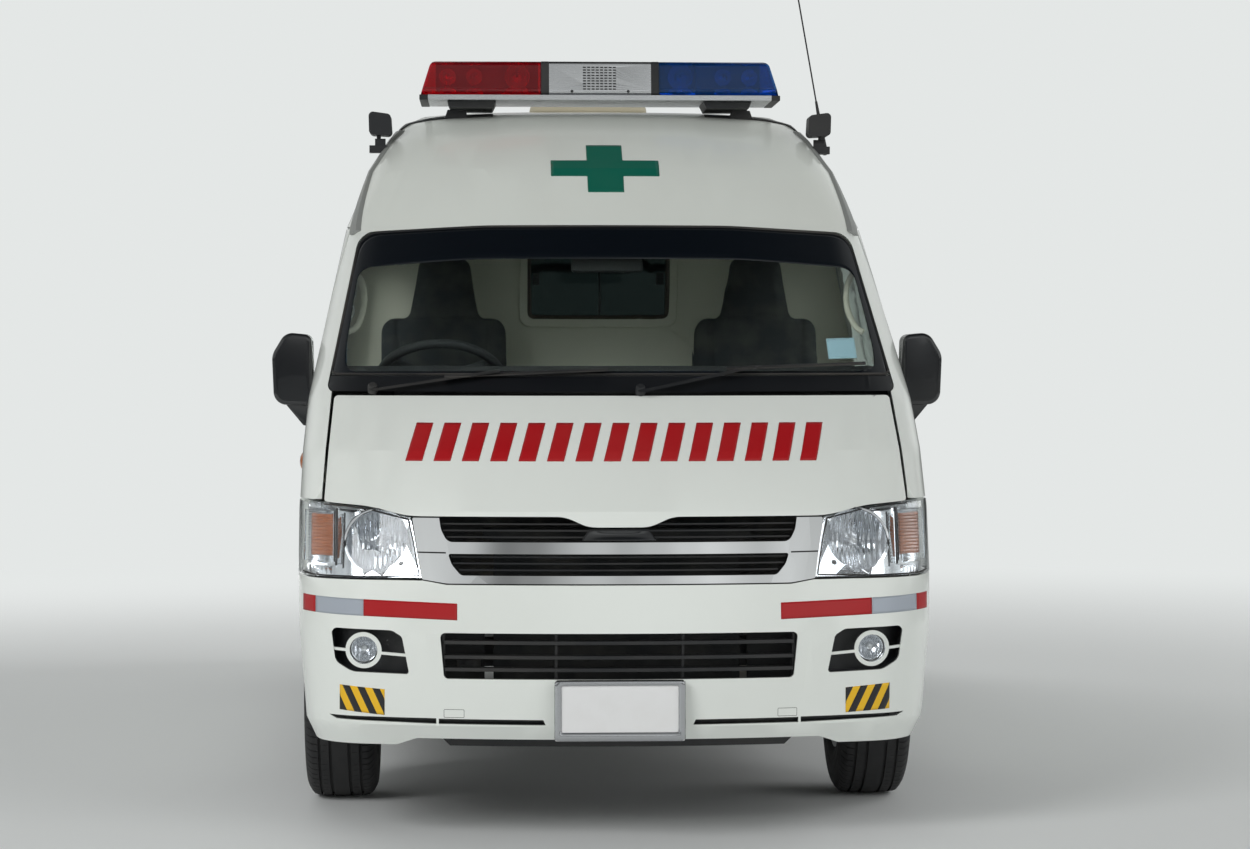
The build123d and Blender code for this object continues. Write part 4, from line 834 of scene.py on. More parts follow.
# %% Number plate surround
plate_steel = finish("plate_steel", (0.52, 0.53, 0.55), 0.15, metallic=1.0, dust=0.04, patch=12, spread=0.12)
ROUND = 160
outer = rounded([(-0.181, 0.304), (0.181, 0.304), (0.181, 0.473), (-0.181, 0.473)], 0.010)
inner = rounded([(-0.163, 0.329), (0.163, 0.329), (0.163, 0.458), (-0.163, 0.458)], 0.004)
SECTION = np.array([(0.0, 0.0055), (0.12, 0.0015), (0.35, 0.0), (0.65, 0.0), (0.9, 0.0015), (1.0, 0.0050)])
share, behind = SECTION[:, 0, None, None], SECTION[:, 1]
rim_flat = (1 - share) * spaced(outer, ROUND)[None] + share * spaced(inner, ROUND)[None]
rim_y = np.broadcast_to(back(0.0) + behind[:, None], rim_flat.shape[:-1])
add_piece("plate_surround", np.stack([rim_flat[..., 0], rim_y, rim_flat[..., 1]], axis=-1),
          grid_faces(len(SECTION), ROUND, wrap_columns=True), plate_steel, "body", facing=FRONT, thick=0.001,
          angle=50)
tell("plate surround")

# %% [markdown]
# Two black walls beside the radiator and a black strip behind each lower slot are painted shade: they
# stand where the openings show only darkness, so one doesn't look through them to the ground. Plain blocks
# and strips do for what is seen only as darkness.

# %% Painted shade: black walls behind the openings


def block(low, high):
    """The eight corners of a box and its six faces."""
    corners = np.array(np.meshgrid(*zip(low, high), indexing="ij")).reshape(3, -1).T
    return corners, [[0, 1, 3, 2], [4, 6, 7, 5], [0, 4, 5, 1], [2, 3, 7, 6], [0, 2, 6, 4], [1, 5, 7, 3]]


def slab(across, distances, heights):
    """A block from three pairs: across the van in either order, behind the front bumper, and up."""
    low, high = zip(sorted(across), (back(distances[0]), back(distances[1])), heights)
    return block(low, high)


# Painted shade: black blocks stand in the air duct, where only shadow is seen.
duct_shades = [slab((side * 0.375, side * 0.530), (0.300, 0.306), (0.420, 0.640)) for side, name in SIDES]
add_piece("duct_walls", *gathered(duct_shades), black_plastic, "body")
# Painted shade: a black strip behind each lower slot hides what shows through it.
slot_x, slot_z = np.meshgrid(np.linspace(0.200, 0.765, 40), (0.336, 0.372), indexing="ij")
slot_back = laid_on(np.stack([slot_x, slot_z], axis=-1), "front_bumper", FRONT, lift=-0.024)
paired("slot_back", (slot_back, grid_faces(*slot_x.shape)), black_plastic, facing=FRONT, thick=0.0012)
tell("black walls")

# %% [markdown]
# Fine dark lines show where one part ends and the next begins: round the covers over the two towing
# points, and across the grille's side pieces. They are thin black films, because a joint is too narrow to
# be cut.

# %% Seams of the covers and the grille
seams = []
for low_x, high_x in ((-0.488, -0.431), (0.443, 0.498)):
    edge = spaced(rounded([(low_x, 0.3635), (high_x, 0.3635), (high_x, 0.387), (low_x, 0.387)], 0.003), 90)
    seams.append((laid_on(between_outlines(edge, shrunk(edge, 0.0011), 2), "front_bumper", FRONT),
                  grid_faces(2, 90, wrap_columns=True)))
add_piece("cover_seams", *gathered(seams), black_film, "body", facing=FRONT, thick=0.0002)
JOINT = np.array([(0.482, 0.8195), (0.559, 0.8205), (0.560, 0.8245), (0.482, 0.8235)])
joints = [patch(JOINT * (side, 1), target="grille") for side, name in SIDES]
add_piece("grille_joints", *gathered(joints), black_film, "body", facing=FRONT, thick=0.0003)
tell("seams")

# %% [markdown]
# In the middle of the grille the ribs give way to a plain dished shield. It has to stand just ahead of
# ribs that bow and lean, so a surface y = level + bow x^2 + lean z is fitted to points thrown on them,
# and the shield lies six millimetres before it.

# %% Grille shield
probe_x, probe_z = np.meshgrid(np.linspace(-0.075, 0.075, 7), np.linspace(0.860, 0.880, 3), indexing="ij")
met = laid_on(np.stack([probe_x, probe_z], axis=-1), "grille_ribs", FRONT).reshape(-1, 3)
terms = np.column_stack([np.ones(len(met)), met[:, 0] ** 2, met[:, 2]])
level, bow, lean = np.linalg.lstsq(terms, met[:, 1], rcond=None)[0]
u, v = np.meshgrid(np.linspace(-1, 1, 41), np.linspace(0, 1, 13), indexing="ij")
shield_x, shield_z = u * (0.104 - 0.021 * v), 0.857 + 0.027 * v
dish = 0.005 * (1 - u ** 2) * np.sin(pi * v)
shield = np.stack([shield_x, level + bow * shield_x ** 2 + lean * shield_z - 0.006 + dish, shield_z], axis=-1)
add_piece("grille_shield", shield, grid_faces(*u.shape), gloss_black, "body", facing=FRONT, thick=-0.003,
          angle=60)
tell("shield")

# %% [markdown]
# The door mirrors are dark gloss shells with silvered glass in the back. The glass is a film on the
# shell's rear face, with a fine lip of the shell's own finish round it.

# %% Mirror glass
glass_edge = spaced(rounded([(0.905, 1.230), (1.004, 1.234), (1.009, 1.368), (0.972, 1.428), (0.910, 1.421)],
                            0.02), 90)
for side, name in SIDES:
    outline, door = glass_edge * (side, 1), "front_door_" + name
    film("mirror_glass_" + name, outline, "mirror_" + name, lamp_mirror, body=door, rows=6, thick=0.001,
         looks=REAR)
    lip = laid_on(outline, "mirror_" + name, REAR, lift=0.001)
    add_piece("mirror_lip_" + name, *tube(lip, 0.0022, 6, closed=True, up=(0, 1, 0)), gloss_black, door)
tell("mirrors")

# %% [markdown]
# The wipers turn on capped spindles. Each blade is a rubber edge held by a slim frame, so a darker,
# softer strip runs along the CAD blade.

# %% Wiper spindles and rubbers
knob = [(0.0005, 0.016), (0.010, 0.014), (0.014, 0.008), (0.015, -0.012), (0.0005, -0.012)]
WIPERS = (((-0.700, 1.270), (-0.490, 1.3065), (-0.020, 1.3265)),
          ((0.074, 1.266), (0.332, 1.3295), (0.750, 1.3445)))
spindles, rubbers = [], []
for spindle, first, last in WIPERS:
    foot = thrown(front_points([spindle]), "cowl_panel")[0]
    spindles.append(turned(knob, foot + (0, -0.018, 0.006), (0, -0.65, 0.76), 24))
    line = np.linspace(first, last, 40)
    rubbers.append(tube(thrown(front_points(line), "wipers"), 0.0028, 6, up=(0, 1, 0)))
add_piece("wiper_spindles", *gathered(spindles), black_plastic, "body")
add_piece("wiper_rubbers", *gathered(rubbers), seal_rubber, "body")
tell("wipers")

# %% [markdown]
# Seen through the coloured domes are the lamps that flash: on each side three beacons with a fluted
# mirror behind a bulb, and a black flasher block among them, all on one dark tray with a dark back.

# %% Inside the light bar
BAR_FLOOR, BAR_MIDDLE = 2.224, back(1.750)
BEACONS = ((0.270, 0.041), (0.412, 0.027), (0.500, 0.027))
bulb = [(0.0005, 0.060), (0.006, 0.058), (0.008, 0.050), (0.008, 0.020), (0.012, 0.016), (0.012, 0.0),
        (0.0005, 0.0)]
beacon_parts, bulb_parts, block_parts = [], [], []
for x, radius in BEACONS:
    beacon_parts.append(fluted_bowl(x, BAR_MIDDLE + 0.018, BAR_FLOOR + 0.054, radius, depth=0.7 * radius,
                                    pitch=0.011, swing=0.0006, rings=14, sides=48))
    bulb_parts.append(turned(bulb, (x, BAR_MIDDLE - 0.006, BAR_FLOOR + 0.004), TOP, 20))
    motor = [(0.0005, 0.012), (0.8 * radius, 0.012), (0.9 * radius, 0.008), (0.9 * radius, 0.0),
             (0.0005, 0.0)]
    block_parts.append(turned(motor, (x, BAR_MIDDLE, BAR_FLOOR), TOP, 32))
FLASHER = (0.322, -0.045), (0.382, 0.045), 0.088
TRAY_BACK = (0.200, 0.055), (0.540, 0.060), 0.092
TRAY = (0.200, -0.105), (0.535, 0.105), 0.003
for (low_x, low_y), (high_x, high_y), height in (FLASHER, TRAY_BACK, TRAY):
    block_parts.append(block((low_x, BAR_MIDDLE + low_y, BAR_FLOOR),
                             (high_x, BAR_MIDDLE + high_y, BAR_FLOOR + height)))
paired("beacon_mirrors", gathered(beacon_parts), lamp_mirror, facing=FRONT, thick=0.001, angle=60)
paired("beacon_bulbs", gathered(bulb_parts), clear_lens)
paired("beacon_trays", gathered(block_parts), black_plastic)
tell("beacons")

# %% [markdown]
# Behind the slots of the loudspeaker is black cloth, and two screws hold its face. The cloth is a flat
# grid between two points on the face, a few millimetres inside it.

# %% Loudspeaker
face_edge = laid_on(np.array([(0.0, 2.2345), (0.0, 2.3160)]), "light_bar", FRONT, lift=-0.003)
cloth_x, cloth_t = np.meshgrid(np.linspace(-0.062, 0.060, 5), np.linspace(0, 1, 5), indexing="ij")
low, high = face_edge
cloth = low + cloth_t[..., None] * (high - low) + cloth_x[..., None] * (1, 0, 0)
add_piece("speaker_cloth", cloth, grid_faces(5, 5), seal_rubber, "body", facing=FRONT, thick=-0.001)
screw_head = [(0.0005, 0.0012), (0.0042, 0.0010), (0.0050, -0.001), (0.0005, -0.001)]
screws = []
for x in (-0.092, 0.092):
    seat = laid_on(np.array([(x, 2.232)]), "light_bar", FRONT)[0]
    screws.append(turned(screw_head, seat, (0, -1, 0.2), 16))
add_piece("speaker_screws", *gathered(screws), black_plastic, "body")
tell("loudspeaker")

# %% [markdown]
# Behind the bar lies the roof ventilator. Its cover is a low beige dome with round corners: the outline
# shrinks as cos(t) falls and the height rises as sin(t), so it is steep at the rim and flat on top.

# %% Ventilator cover
beige_plastic = finish("beige_plastic", (0.50, 0.45, 0.33), 0.5, coat=0.1, dust=0.10, patch=8, bump=0.0001)
VENT_HALF, VENT_TOP, VENT_RIM = 0.213, 2.326, 2.258
VENT_MIDDLE = back(3.050)
corners = np.array([(-1, -1), (1, -1), (1, 1), (-1, 1)]) * VENT_HALF
vent_edge = spaced(rounded(corners, 0.070), 96)
t = np.linspace(0, 0.5 * pi, 16)[:, None]
size, rise = np.cos(t) ** 0.5, np.sin(t) ** 0.8
cover_z = np.broadcast_to(VENT_RIM + (VENT_TOP - VENT_RIM) * rise, (16, 96))
cover = np.stack([vent_edge[None, :, 0] * size, VENT_MIDDLE + vent_edge[None, :, 1] * size, cover_z], axis=-1)
add_piece("vent_cover", cover, grid_faces(16, 96, wrap_columns=True), beige_plastic, "body", facing=TOP,
          thick=0.003)
tell("ventilator")

# %% [markdown]
# Rubber and trim go round the side glass: a black printed border on each pane and a lip on its joint. The
# outlines are the panes' own, in side view, and each row of the table is one pane of the patient's room.

# %% Side glass borders
PANE_LOW, PANE_HIGH, PANE_CORNER = 1.196, 1.690, 0.071
SIDE_PANES = [
    ("load_1_left", 1, (1.905, 2.815, 2.815, 1.905)), ("load_2_left", 1, (3.060, 4.040, 4.040, 3.060)),
    ("load_3_left", 1, (4.150, 5.110, 5.080, 4.150)), ("load_1_right", -1, (1.840, 2.935, 2.935, 1.840)),
    ("load_2_right", -1, (3.060, 4.040, 4.040, 3.060)), ("load_3_right", -1, (4.150, 5.110, 5.080, 4.150)),
]
for label, side, distances in SIDE_PANES:
    corners = [(back(d), z) for d, z in zip(distances, (PANE_LOW, PANE_LOW, PANE_HIGH, PANE_HIGH))]
    edge = shrunk(spaced(rounded(corners, PANE_CORNER), 200), 0.003)
    film("border_" + label, edge, "side_windows", gloss_black, inner=shrunk(edge, 0.026), rows=3,
         thick=0.0005, looks=(side, 0, 0))
    lip = laid_on(edge, "side_windows", (side, 0, 0))
    add_piece("lip_" + label, *tube(lip, LIP, 6, closed=True, up=(1, 0, 0)), seal_rubber, "body")
tell("side glass")

# %% [markdown]
# The front doors' glass slides down behind a rubber lip. The lip follows the pane as far forward as the
# mirror's foot and then closes on itself, so the points ahead of the foot are dropped before it is spaced
# again.

# %% Door glass lips
MIRROR_FOOT = back(0.895)
DOOR_PANE = ((0.835, 1.214), (1.652, 1.214), (1.652, 1.708), (1.292, 1.708))
for side, name in SIDES:
    edge = spaced(rounded([(back(d), z) for d, z in DOOR_PANE], (0.100, 0.045, 0.045, 0.026)), 220)
    edge = shrunk(spaced(edge[edge[:, 0] > MIRROR_FOOT], 220), 0.004)
    lip = laid_on(edge, "door_window_" + name, (side, 0, 0))
    add_piece("door_lip_" + name, *tube(lip, 0.0050, 6, closed=True, up=(1, 0, 0)), seal_rubber,
              "front_door_" + name)
tell("door glass")

# %% [markdown]
# On the flanks stand the parts that a hand meets: key barrels by the handles, an amber repeater on each
# wing, and the fuel flap's outline behind the driver's door. A repeater is a turned dome drawn out
# lengthwise.

# %% Key barrels, repeaters and flap
barrel = [(0.0005, 0.0030), (0.0085, 0.0025), (0.0105, 0.0), (0.0105, -0.004), (0.0005, -0.004)]
dome = [(0.0005, 0.011), (0.012, 0.010), (0.022, 0.006), (0.027, 0.0), (0.027, -0.006), (0.0005, -0.006)]
DRAWN_OUT = 1.7
for side, name in SIDES:
    seat = laid_on(np.array([(back(1.585), 0.985)]), "front_door_" + name, (side, 0, 0))[0]
    add_piece("key_barrel_" + name, *turned(barrel, seat, (side, 0, 0), 20), bar_metal, "front_door_" + name)
    seat = laid_on(np.array([(back(0.612), 1.060)]), "cab_frame", (side, 0, 0))[0]
    points, faces = turned(dome, seat, (side, -0.08, 0.05), 32)
    points[:, 1] = seat[1] + (points[:, 1] - seat[1]) * DRAWN_OUT
    add_piece("repeater_" + name, points, faces, amber_lens, "body")
FLAP = ((1.790, 0.700), (1.960, 0.700), (1.960, 0.860), (1.790, 0.860))
flap = spaced(rounded([(back(d), z) for d, z in FLAP], 0.02), 120)
film("flap_seam", flap, "side_panel_right", black_film, inner=shrunk(flap, 0.003), rows=2, thick=0.0004,
     looks=(-1, 0, 0))
tell("flanks")

# %% [markdown]
# Each tail lamp is red from top to bottom, but for an amber band and a white one. The bands are thin
# lenses thrown on the lamp from behind, with fine level ribs.

# %% Tail lamps
amber_solid = finish("amber_solid", (0.80, 0.22, 0.015), 0.12, coat=0.6, dust=0.05, patch=6)
white_solid = finish("white_solid", (0.70, 0.72, 0.72), 0.12, coat=0.6, dust=0.05, patch=6)
LENS_BANDS = [("turn", amber_solid, 1.262, 1.338), ("reverse", white_solid, 0.974, 1.040)]
for side, name in SIDES:
    for label, material, low, high in LENS_BANDS:
        x, z = np.meshgrid(np.linspace(0.783, 0.868, 18), np.linspace(low, high, 45), indexing="ij")
        lens = laid_on(np.stack([side * x, z], axis=-1), "tail_lamps", REAR, lift=0.0006)
        lens[..., 1] += 0.0006 * np.cos(2 * pi * z / 0.0075)
        add_piece(f"lens_{label}_{name}", lens, grid_faces(*x.shape), material, "body", facing=REAR,
                  thick=0.0012, angle=60)
tell("tail lamps")

# %% [markdown]
# The rear wiper is a capped hub, an arm that leans over to the glass, and a blade laid on the glass. Hub
# and glass are found by throwing a point at each, so the arm ends where they are.

# %% Rear wiper
HUB_Z, ARM_END_X, ARM_RISE = 1.150, -0.335, 0.115
TIP_Z = HUB_Z + ARM_RISE
hub = [(0.0005, 0.030), (0.016, 0.028), (0.022, 0.020), (0.024, 0.0), (0.024, -0.004), (0.0005, -0.004)]
hub_seat = laid_on(np.array([(0.0, HUB_Z)]), "tailgate", REAR)[0]
tip_seat = laid_on(np.array([(ARM_END_X, TIP_Z)]), "rear_window", REAR)[0]
arm_y = np.linspace(hub_seat[1] + 0.022, tip_seat[1] + 0.014, 30)
arm_z = HUB_Z + ARM_RISE * np.sin(np.linspace(0, pi / 2, 30))
arm_path = np.column_stack([np.linspace(0.0, ARM_END_X, 30), arm_y, arm_z])
blade_z = TIP_Z + 0.012 * np.cos(np.linspace(-1, 1, 40))
blade_flat = np.column_stack([np.linspace(-0.540, -0.130, 40), blade_z])
blade = laid_on(blade_flat, "rear_window", REAR, lift=0.006)
add_piece("rear_wiper", *gathered([turned(hub, hub_seat, REAR, 28),
                                   tube(arm_path, np.linspace(0.009, 0.005, 30), 8, up=(0, 1, 0)),
                                   tube(blade, 0.0045, 6, up=(0, 1, 0))]), black_plastic, "tailgate")
tell("rear wiper")

# %% [markdown]
# Across the tailgate lies a chrome strip with a black grip below it, both blocks with a bevel. The rear
# glass has a black border and a rubber lip like the side panes, and above it is a third stop lamp.

# %% Tailgate strip, grip, glass border and stop lamp
panel_y = thrown(np.array([(0.0, FAR, 0.985)]), "tailgate", axis=1, sign=-1)[0, 1]
garnish = block((-0.285, panel_y - 0.004, 0.950), (0.285, panel_y + 0.010, 0.992))
add_piece("tailgate_garnish", *garnish, chrome, "tailgate", bevel=0.003)
grip = block((-0.080, panel_y - 0.045, 0.918), (0.080, panel_y - 0.030, 0.950))
add_piece("tailgate_grip", *grip, black_plastic, "tailgate", bevel=0.004)
rear_edge = rounded([(-0.610, 1.200), (0.610, 1.200), (0.560, 1.760), (-0.560, 1.760)], 0.072)
rear_edge = shrunk(spaced(rear_edge, 240), 0.003)
film("border_rear", rear_edge, "rear_window", gloss_black, body="tailgate", inner=shrunk(rear_edge, 0.032),
     rows=3, thick=0.0005, looks=REAR)
rear_lip = laid_on(rear_edge, "rear_window", REAR)
add_piece("lip_rear", *tube(rear_lip, LIP, 6, closed=True, up=(0, 1, 0)), seal_rubber, "tailgate")
stop = patch(((0.16, 1.800), (-0.16, 1.800), (-0.16, 1.832), (0.16, 1.832)), target="tailgate", looks=REAR)
add_piece("stop_lamp", *stop, tail_red, "tailgate", facing=REAR, thick=0.006)
tell("tailgate")

# %% [markdown]
# The step on the rear bumper has a moulded tread, so that a wet shoe holds: ribs across its top, a cosine
# of the distance backwards. Behind the rear wheels hang two rubber flaps.

# %% Rear step tread and mud flaps
ridge_x, ridge_y = np.meshgrid(np.linspace(-0.52, 0.52, 261), np.linspace(back(5.316), back(5.352), 25),
                               indexing="ij")
bumper_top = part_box("rear_bumper")[1][2]
ridges = bumper_top + 0.0022 + 0.0012 * np.cos(2 * pi * ridge_y / 0.006)
add_piece("step_tread", np.stack([ridge_x, ridge_y, ridges], axis=-1), grid_faces(*ridge_x.shape),
          seal_rubber, "body", facing=TOP, thick=-0.003, angle=60)
flaps = [slab((side * 0.70, side * 0.90), (4.672, 4.680), (0.175, 0.455)) for side, name in SIDES]
add_piece("mud_flaps", *gathered(flaps), seal_rubber, "body", bevel=0.002)
tell("step and flaps")

# %% [markdown]
# A tyre is one profile spun about its axle, but its tread isn't smooth: four grooves run round it, and
# short cuts cross the shoulders and the ribs beside the middle one. The radius of a point is the
# profile's, less a depth that depends on both the place across the tread and the angle. Angles are spaced
# unevenly, close together only at the cuts.

# %% The tyre's profile and its cuts
TYRE_PROFILE = np.array([
    (-0.086, 0.1905), (-0.094, 0.198), (-0.098, 0.206), (-0.104, 0.222), (-0.1065, 0.232),
    (-0.1072, 0.240), (-0.1058, 0.243), (-0.1058, 0.249), (-0.1074, 0.252), (-0.1074, 0.276),
    (-0.1060, 0.279), (-0.1070, 0.290),
    (-0.1066, 0.303), (-0.1030, 0.313), (-0.0955, 0.326), (-0.0870, 0.336), (-0.0800, 0.3385),
    (-0.0700, 0.3398), (-0.0660, 0.3402), (-0.0650, 0.3330), (-0.0590, 0.3330), (-0.0580, 0.3408),
    (-0.0480, 0.3414), (-0.0330, 0.3420), (-0.0320, 0.3345), (-0.0250, 0.3345), (-0.0240, 0.3423),
    (-0.0120, 0.3427)])
profile = np.vstack([TYRE_PROFILE, [(0.0, 0.3428)], TYRE_PROFILE[::-1] * (-1, 1)])
PITCHES = 84
within = np.array((0.0, 0.05, 0.13, 0.18, 0.55))
angles = ((np.arange(PITCHES)[:, None] + within) / PITCHES * 2 * pi).ravel()
cut_here = np.tile((0.0, 1.0, 1.0, 0.0, 0.0), PITCHES)
across = np.abs(profile[:, 0])
cut_depth = 0.0042 * ((across > 0.0665) & (across < 0.097) & (profile[:, 1] > 0.32))
cut_depth = cut_depth + 0.0022 * ((across > 0.0335) & (across < 0.0575) & (profile[:, 1] > 0.34))
print("tread", len(profile), "rows,", len(angles), "angles")

# %% [markdown]
# Each of the four tyres is that table of rows and angles carried about its own axle. It stands in for the
# smooth CAD tyre on the same wheel, and so turns and steers with it.

# %% Tyres


def tyre_points(centre, side):
    """Radius r(s, a) = profile(s) - depth(s) cut(a), about the axle; the cuts lean with the side."""
    lean = profile[:, 0] * (2 * pi / PITCHES) * side
    radius = profile[:, 1, None] - cut_depth[:, None] * cut_here[None, :]
    angle = angles[None, :] + lean[:, None]
    x = centre[0] + side * np.broadcast_to(profile[:, 0, None], radius.shape)
    return np.stack([x, centre[1] + radius * np.cos(angle), centre[2] + radius * np.sin(angle)], axis=-1)


FRONT_AXLE, REAR_AXLE = 1.125, 4.235
WHEELS = [("front_left", 1, FRONT_AXLE), ("front_right", -1, FRONT_AXLE), ("rear_left", 1, REAR_AXLE),
          ("rear_right", -1, REAR_AXLE)]
AXLE_HEIGHT, HALF_TRACK = 0.343, 0.815
for name, side, distance in WHEELS:
    centre = (side * HALF_TRACK, back(distance), AXLE_HEIGHT)
    tyre = add_piece("tread_" + name, tyre_points(centre, side),
                     grid_faces(len(profile), len(angles), wrap_rows=True, wrap_columns=True), tyre_rubber,
                     "wheel_" + name, angle=40)
    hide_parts("tyre_" + name)
tell("tyres")

# %% [markdown]
# The steel wheels carry a pressed hub cap, six nuts on a circle and a valve. A nut is a profile spun in
# six steps, and the circle of nuts is one piece.

# %% Hub caps, nuts and valves
hub_cap = [(0.0005, 0.020), (0.014, 0.0195), (0.022, 0.016), (0.027, 0.008), (0.0295, 0.0), (0.0295, -0.006),
           (0.0005, -0.006)]
nut = [(0.0005, 0.013), (0.0065, 0.0125), (0.0095, 0.010), (0.0105, 0.002), (0.0105, -0.002),
       (0.0005, -0.002)]
valve = [(0.0005, 0.022), (0.0035, 0.021), (0.0035, 0.006), (0.0050, 0.004), (0.0050, -0.004),
         (0.0005, -0.004)]
NUTS, NUT_CIRCLE, VALVE_CIRCLE = 6, 0.070, 0.160
for name, side, distance in WHEELS:
    centre = np.array((side * HALF_TRACK, back(distance), AXLE_HEIGHT))
    axis = (side, 0, 0)
    fittings = [turned(hub_cap, centre + (side * 0.067, 0, 0), axis, 40)]
    for step in np.arange(NUTS) * 2 * pi / NUTS:
        seat = centre + (side * 0.058, NUT_CIRCLE * cos(step), NUT_CIRCLE * sin(step))
        fittings.append(turned(nut, seat, axis, 6))
    fittings.append(turned(valve, centre + (side * 0.050, 0, VALVE_CIRCLE), (side, 0, -0.25), 12))
    add_piece("fittings_" + name, *gathered(fittings), chrome, "wheel_" + name, angle=30)
tell("wheels")

# %% [markdown]
# Through the screen one looks into the cab. Its mirror is a shell with rounded corners, built of four
# outlines one behind the other, on a stem from the roof; grab handles bow out from the pillars, and two
# visors are folded up.

# %% Cab mirror, handles and visors
MIRROR_Y = back(0.985)
mirror_body = rounded([(-0.112, 1.622), (0.112, 1.622), (0.108, 1.668), (-0.108, 1.668)], 0.016)
corners_round = len(mirror_body)
rings = []
for shrink, behind in ((0.006, -0.012), (0.0, -0.006), (0.0, 0.010), (0.003, 0.013)):
    outline = shrunk(mirror_body, shrink)
    rings.append(np.column_stack([outline[:, 0], np.full(corners_round, MIRROR_Y + behind), outline[:, 1]]))
faces = grid_faces(len(rings), corners_round, wrap_columns=True)
last = (len(rings) - 1) * corners_round
faces += [list(range(corners_round)), list(range(last, last + corners_round))[::-1]]
stem = tube([(0, MIRROR_Y, 1.650), (0, MIRROR_Y - 0.004, 1.690), (0, MIRROR_Y + 0.010, 1.722),
             (0, MIRROR_Y + 0.045, 1.748)], 0.006, 10, up=(0, 1, 0))
add_piece("cab_mirror", *gathered([(np.array(rings), faces), stem]), black_plastic, "body")

bend = np.linspace(0, 1, 25)
bow = np.sin(pi * bend) ** 0.5
grab_bars = []
for side, name in SIDES:
    path = np.column_stack([side * (0.792 - 0.045 * bow), back(0.985 + 0.150 * bend), 1.440 + 0.190 * bend])
    grab_bars.append(tube(path, 0.0095, 12))
add_piece("pillar_handles", *gathered(grab_bars), cream_lining, "body")
visors = [slab((side * 0.16, side * 0.60), (1.215, 1.232), (1.690, 1.80)) for side, name in SIDES]
add_piece("sun_visors", *gathered(visors), cream_lining, "body", bevel=0.006)
tell("cab mirror, handles and visors")

# %% [markdown]
# The partition behind the seats has a small window in a brown rubber frame, with a bar between its two
# panes and a catch on each. The frame is a tube round the window's outline.

# %% Partition window
brown_seal = finish("brown_seal", (0.060, 0.040, 0.030), 0.55, dust=0.05, grain=500, bump=0.0001)
frame_edge = spaced(rounded([(-0.232, 1.490), (0.232, 1.490), (0.232, 1.704), (-0.232, 1.704)], 0.022), 160)
frame_path = np.column_stack([frame_edge[:, 0], np.full(160, back(1.7885)), frame_edge[:, 1]])
add_piece("partition_seal", *tube(frame_path, 0.010, 8, closed=True, up=(0, 1, 0)), brown_seal, "body")
catches = [slab((side * 0.205 - 0.012, side * 0.205 + 0.012), (1.780, 1.796), (1.600, 1.640))
           for side, name in SIDES]
catches.append(slab((-0.003, 0.003), (1.785, 1.797), (1.496, 1.698)))
add_piece("partition_catches", *gathered(catches), black_plastic, "body", bevel=0.002)
tell("partition window")

# %% [markdown]
# The dashboard's own parts stand on its solid: three dials behind the wheel, slatted vents and two panels
# in the middle. Dials are turned and tilted to the driver; all else is blocks.

# %% Dials, vents and panels
WHEEL_X = -0.51
dial = [(0.0005, 0.0), (0.036, 0.0), (0.040, 0.006), (0.043, 0.006), (0.043, -0.010), (0.0005, -0.010)]
dials = [turned(dial, (WHEEL_X + shift, back(0.872), 1.270), (0, 0.92, 0.38), 40)
         for shift in (-0.095, 0.0, 0.095)]
add_piece("dials", *gathered(dials), gloss_black, "body")
SLAT_LOW, SLAT_PITCH, SLAT_THICK = 1.222, 0.013, 0.005
slats = []
for x in (-0.78, -0.14, 0.14, 0.78):
    for low in SLAT_LOW + SLAT_PITCH * np.arange(4):
        slats.append(slab((x - 0.055, x + 0.055), (0.858, 0.884), (low, low + SLAT_THICK)))
add_piece("vents", *gathered(slats), black_plastic, "body")
panels = [slab((-0.09, 0.09), (0.850, 0.866), (1.140, 1.190)),
          slab((-0.09, 0.09), (0.800, 0.826), (1.060, 1.115))]
add_piece("console_panels", *gathered(panels), gloss_black, "body", bevel=0.003)
tell("dashboard")

# %% [markdown]
# The gear lever rises from the middle of the dashboard and ends in a ball; two stalks stand out beside
# the steering column. The horn pad is the one piece here that turns with the steering wheel.

# %% Lever, stalks and horn pad
lever_path = [(-0.16, back(0.815), 1.080), (-0.16, back(0.880), 1.100), (-0.165, back(0.930), 1.150)]
ball = [(0.0005, 0.022), (0.012, 0.020), (0.020, 0.010), (0.021, 0.0), (0.016, -0.014), (0.0005, -0.018)]
lever = [tube(lever_path, 0.007, 10), turned(ball, (-0.165, back(0.934), 1.158), (0, 0.5, 0.86), 20)]
add_piece("gear_lever", *gathered(lever), black_plastic, "body")
horn = [(0.0005, 0.026), (0.040, 0.024), (0.058, 0.018), (0.062, 0.012), (0.0005, 0.012)]
add_piece("horn_pad", *turned(horn, (WHEEL_X, back(0.985), 1.290), (0, 0.6, 0.8), 40), dash_plastic,
          "steering_wheel")
STALK = ((0.0, 0.925, 1.235), (0.10, 0.930, 1.245), (0.185, 0.945, 1.262))
stalks = [tube([(WHEEL_X + side * reach, back(d), z) for reach, d, z in STALK], (0.006, 0.006, 0.009), 10)
          for side, name in SIDES]
add_piece("stalks", *gathered(stalks), black_plastic, "body")
tell("lever, stalks and horn")

# %% [markdown]
# The patient's room gets a vinyl floor that stops at the wheelhouses, two rails along the ceiling to hold
# on to, and two flat lamps. The rails are tubes whose ends rise to the ceiling.

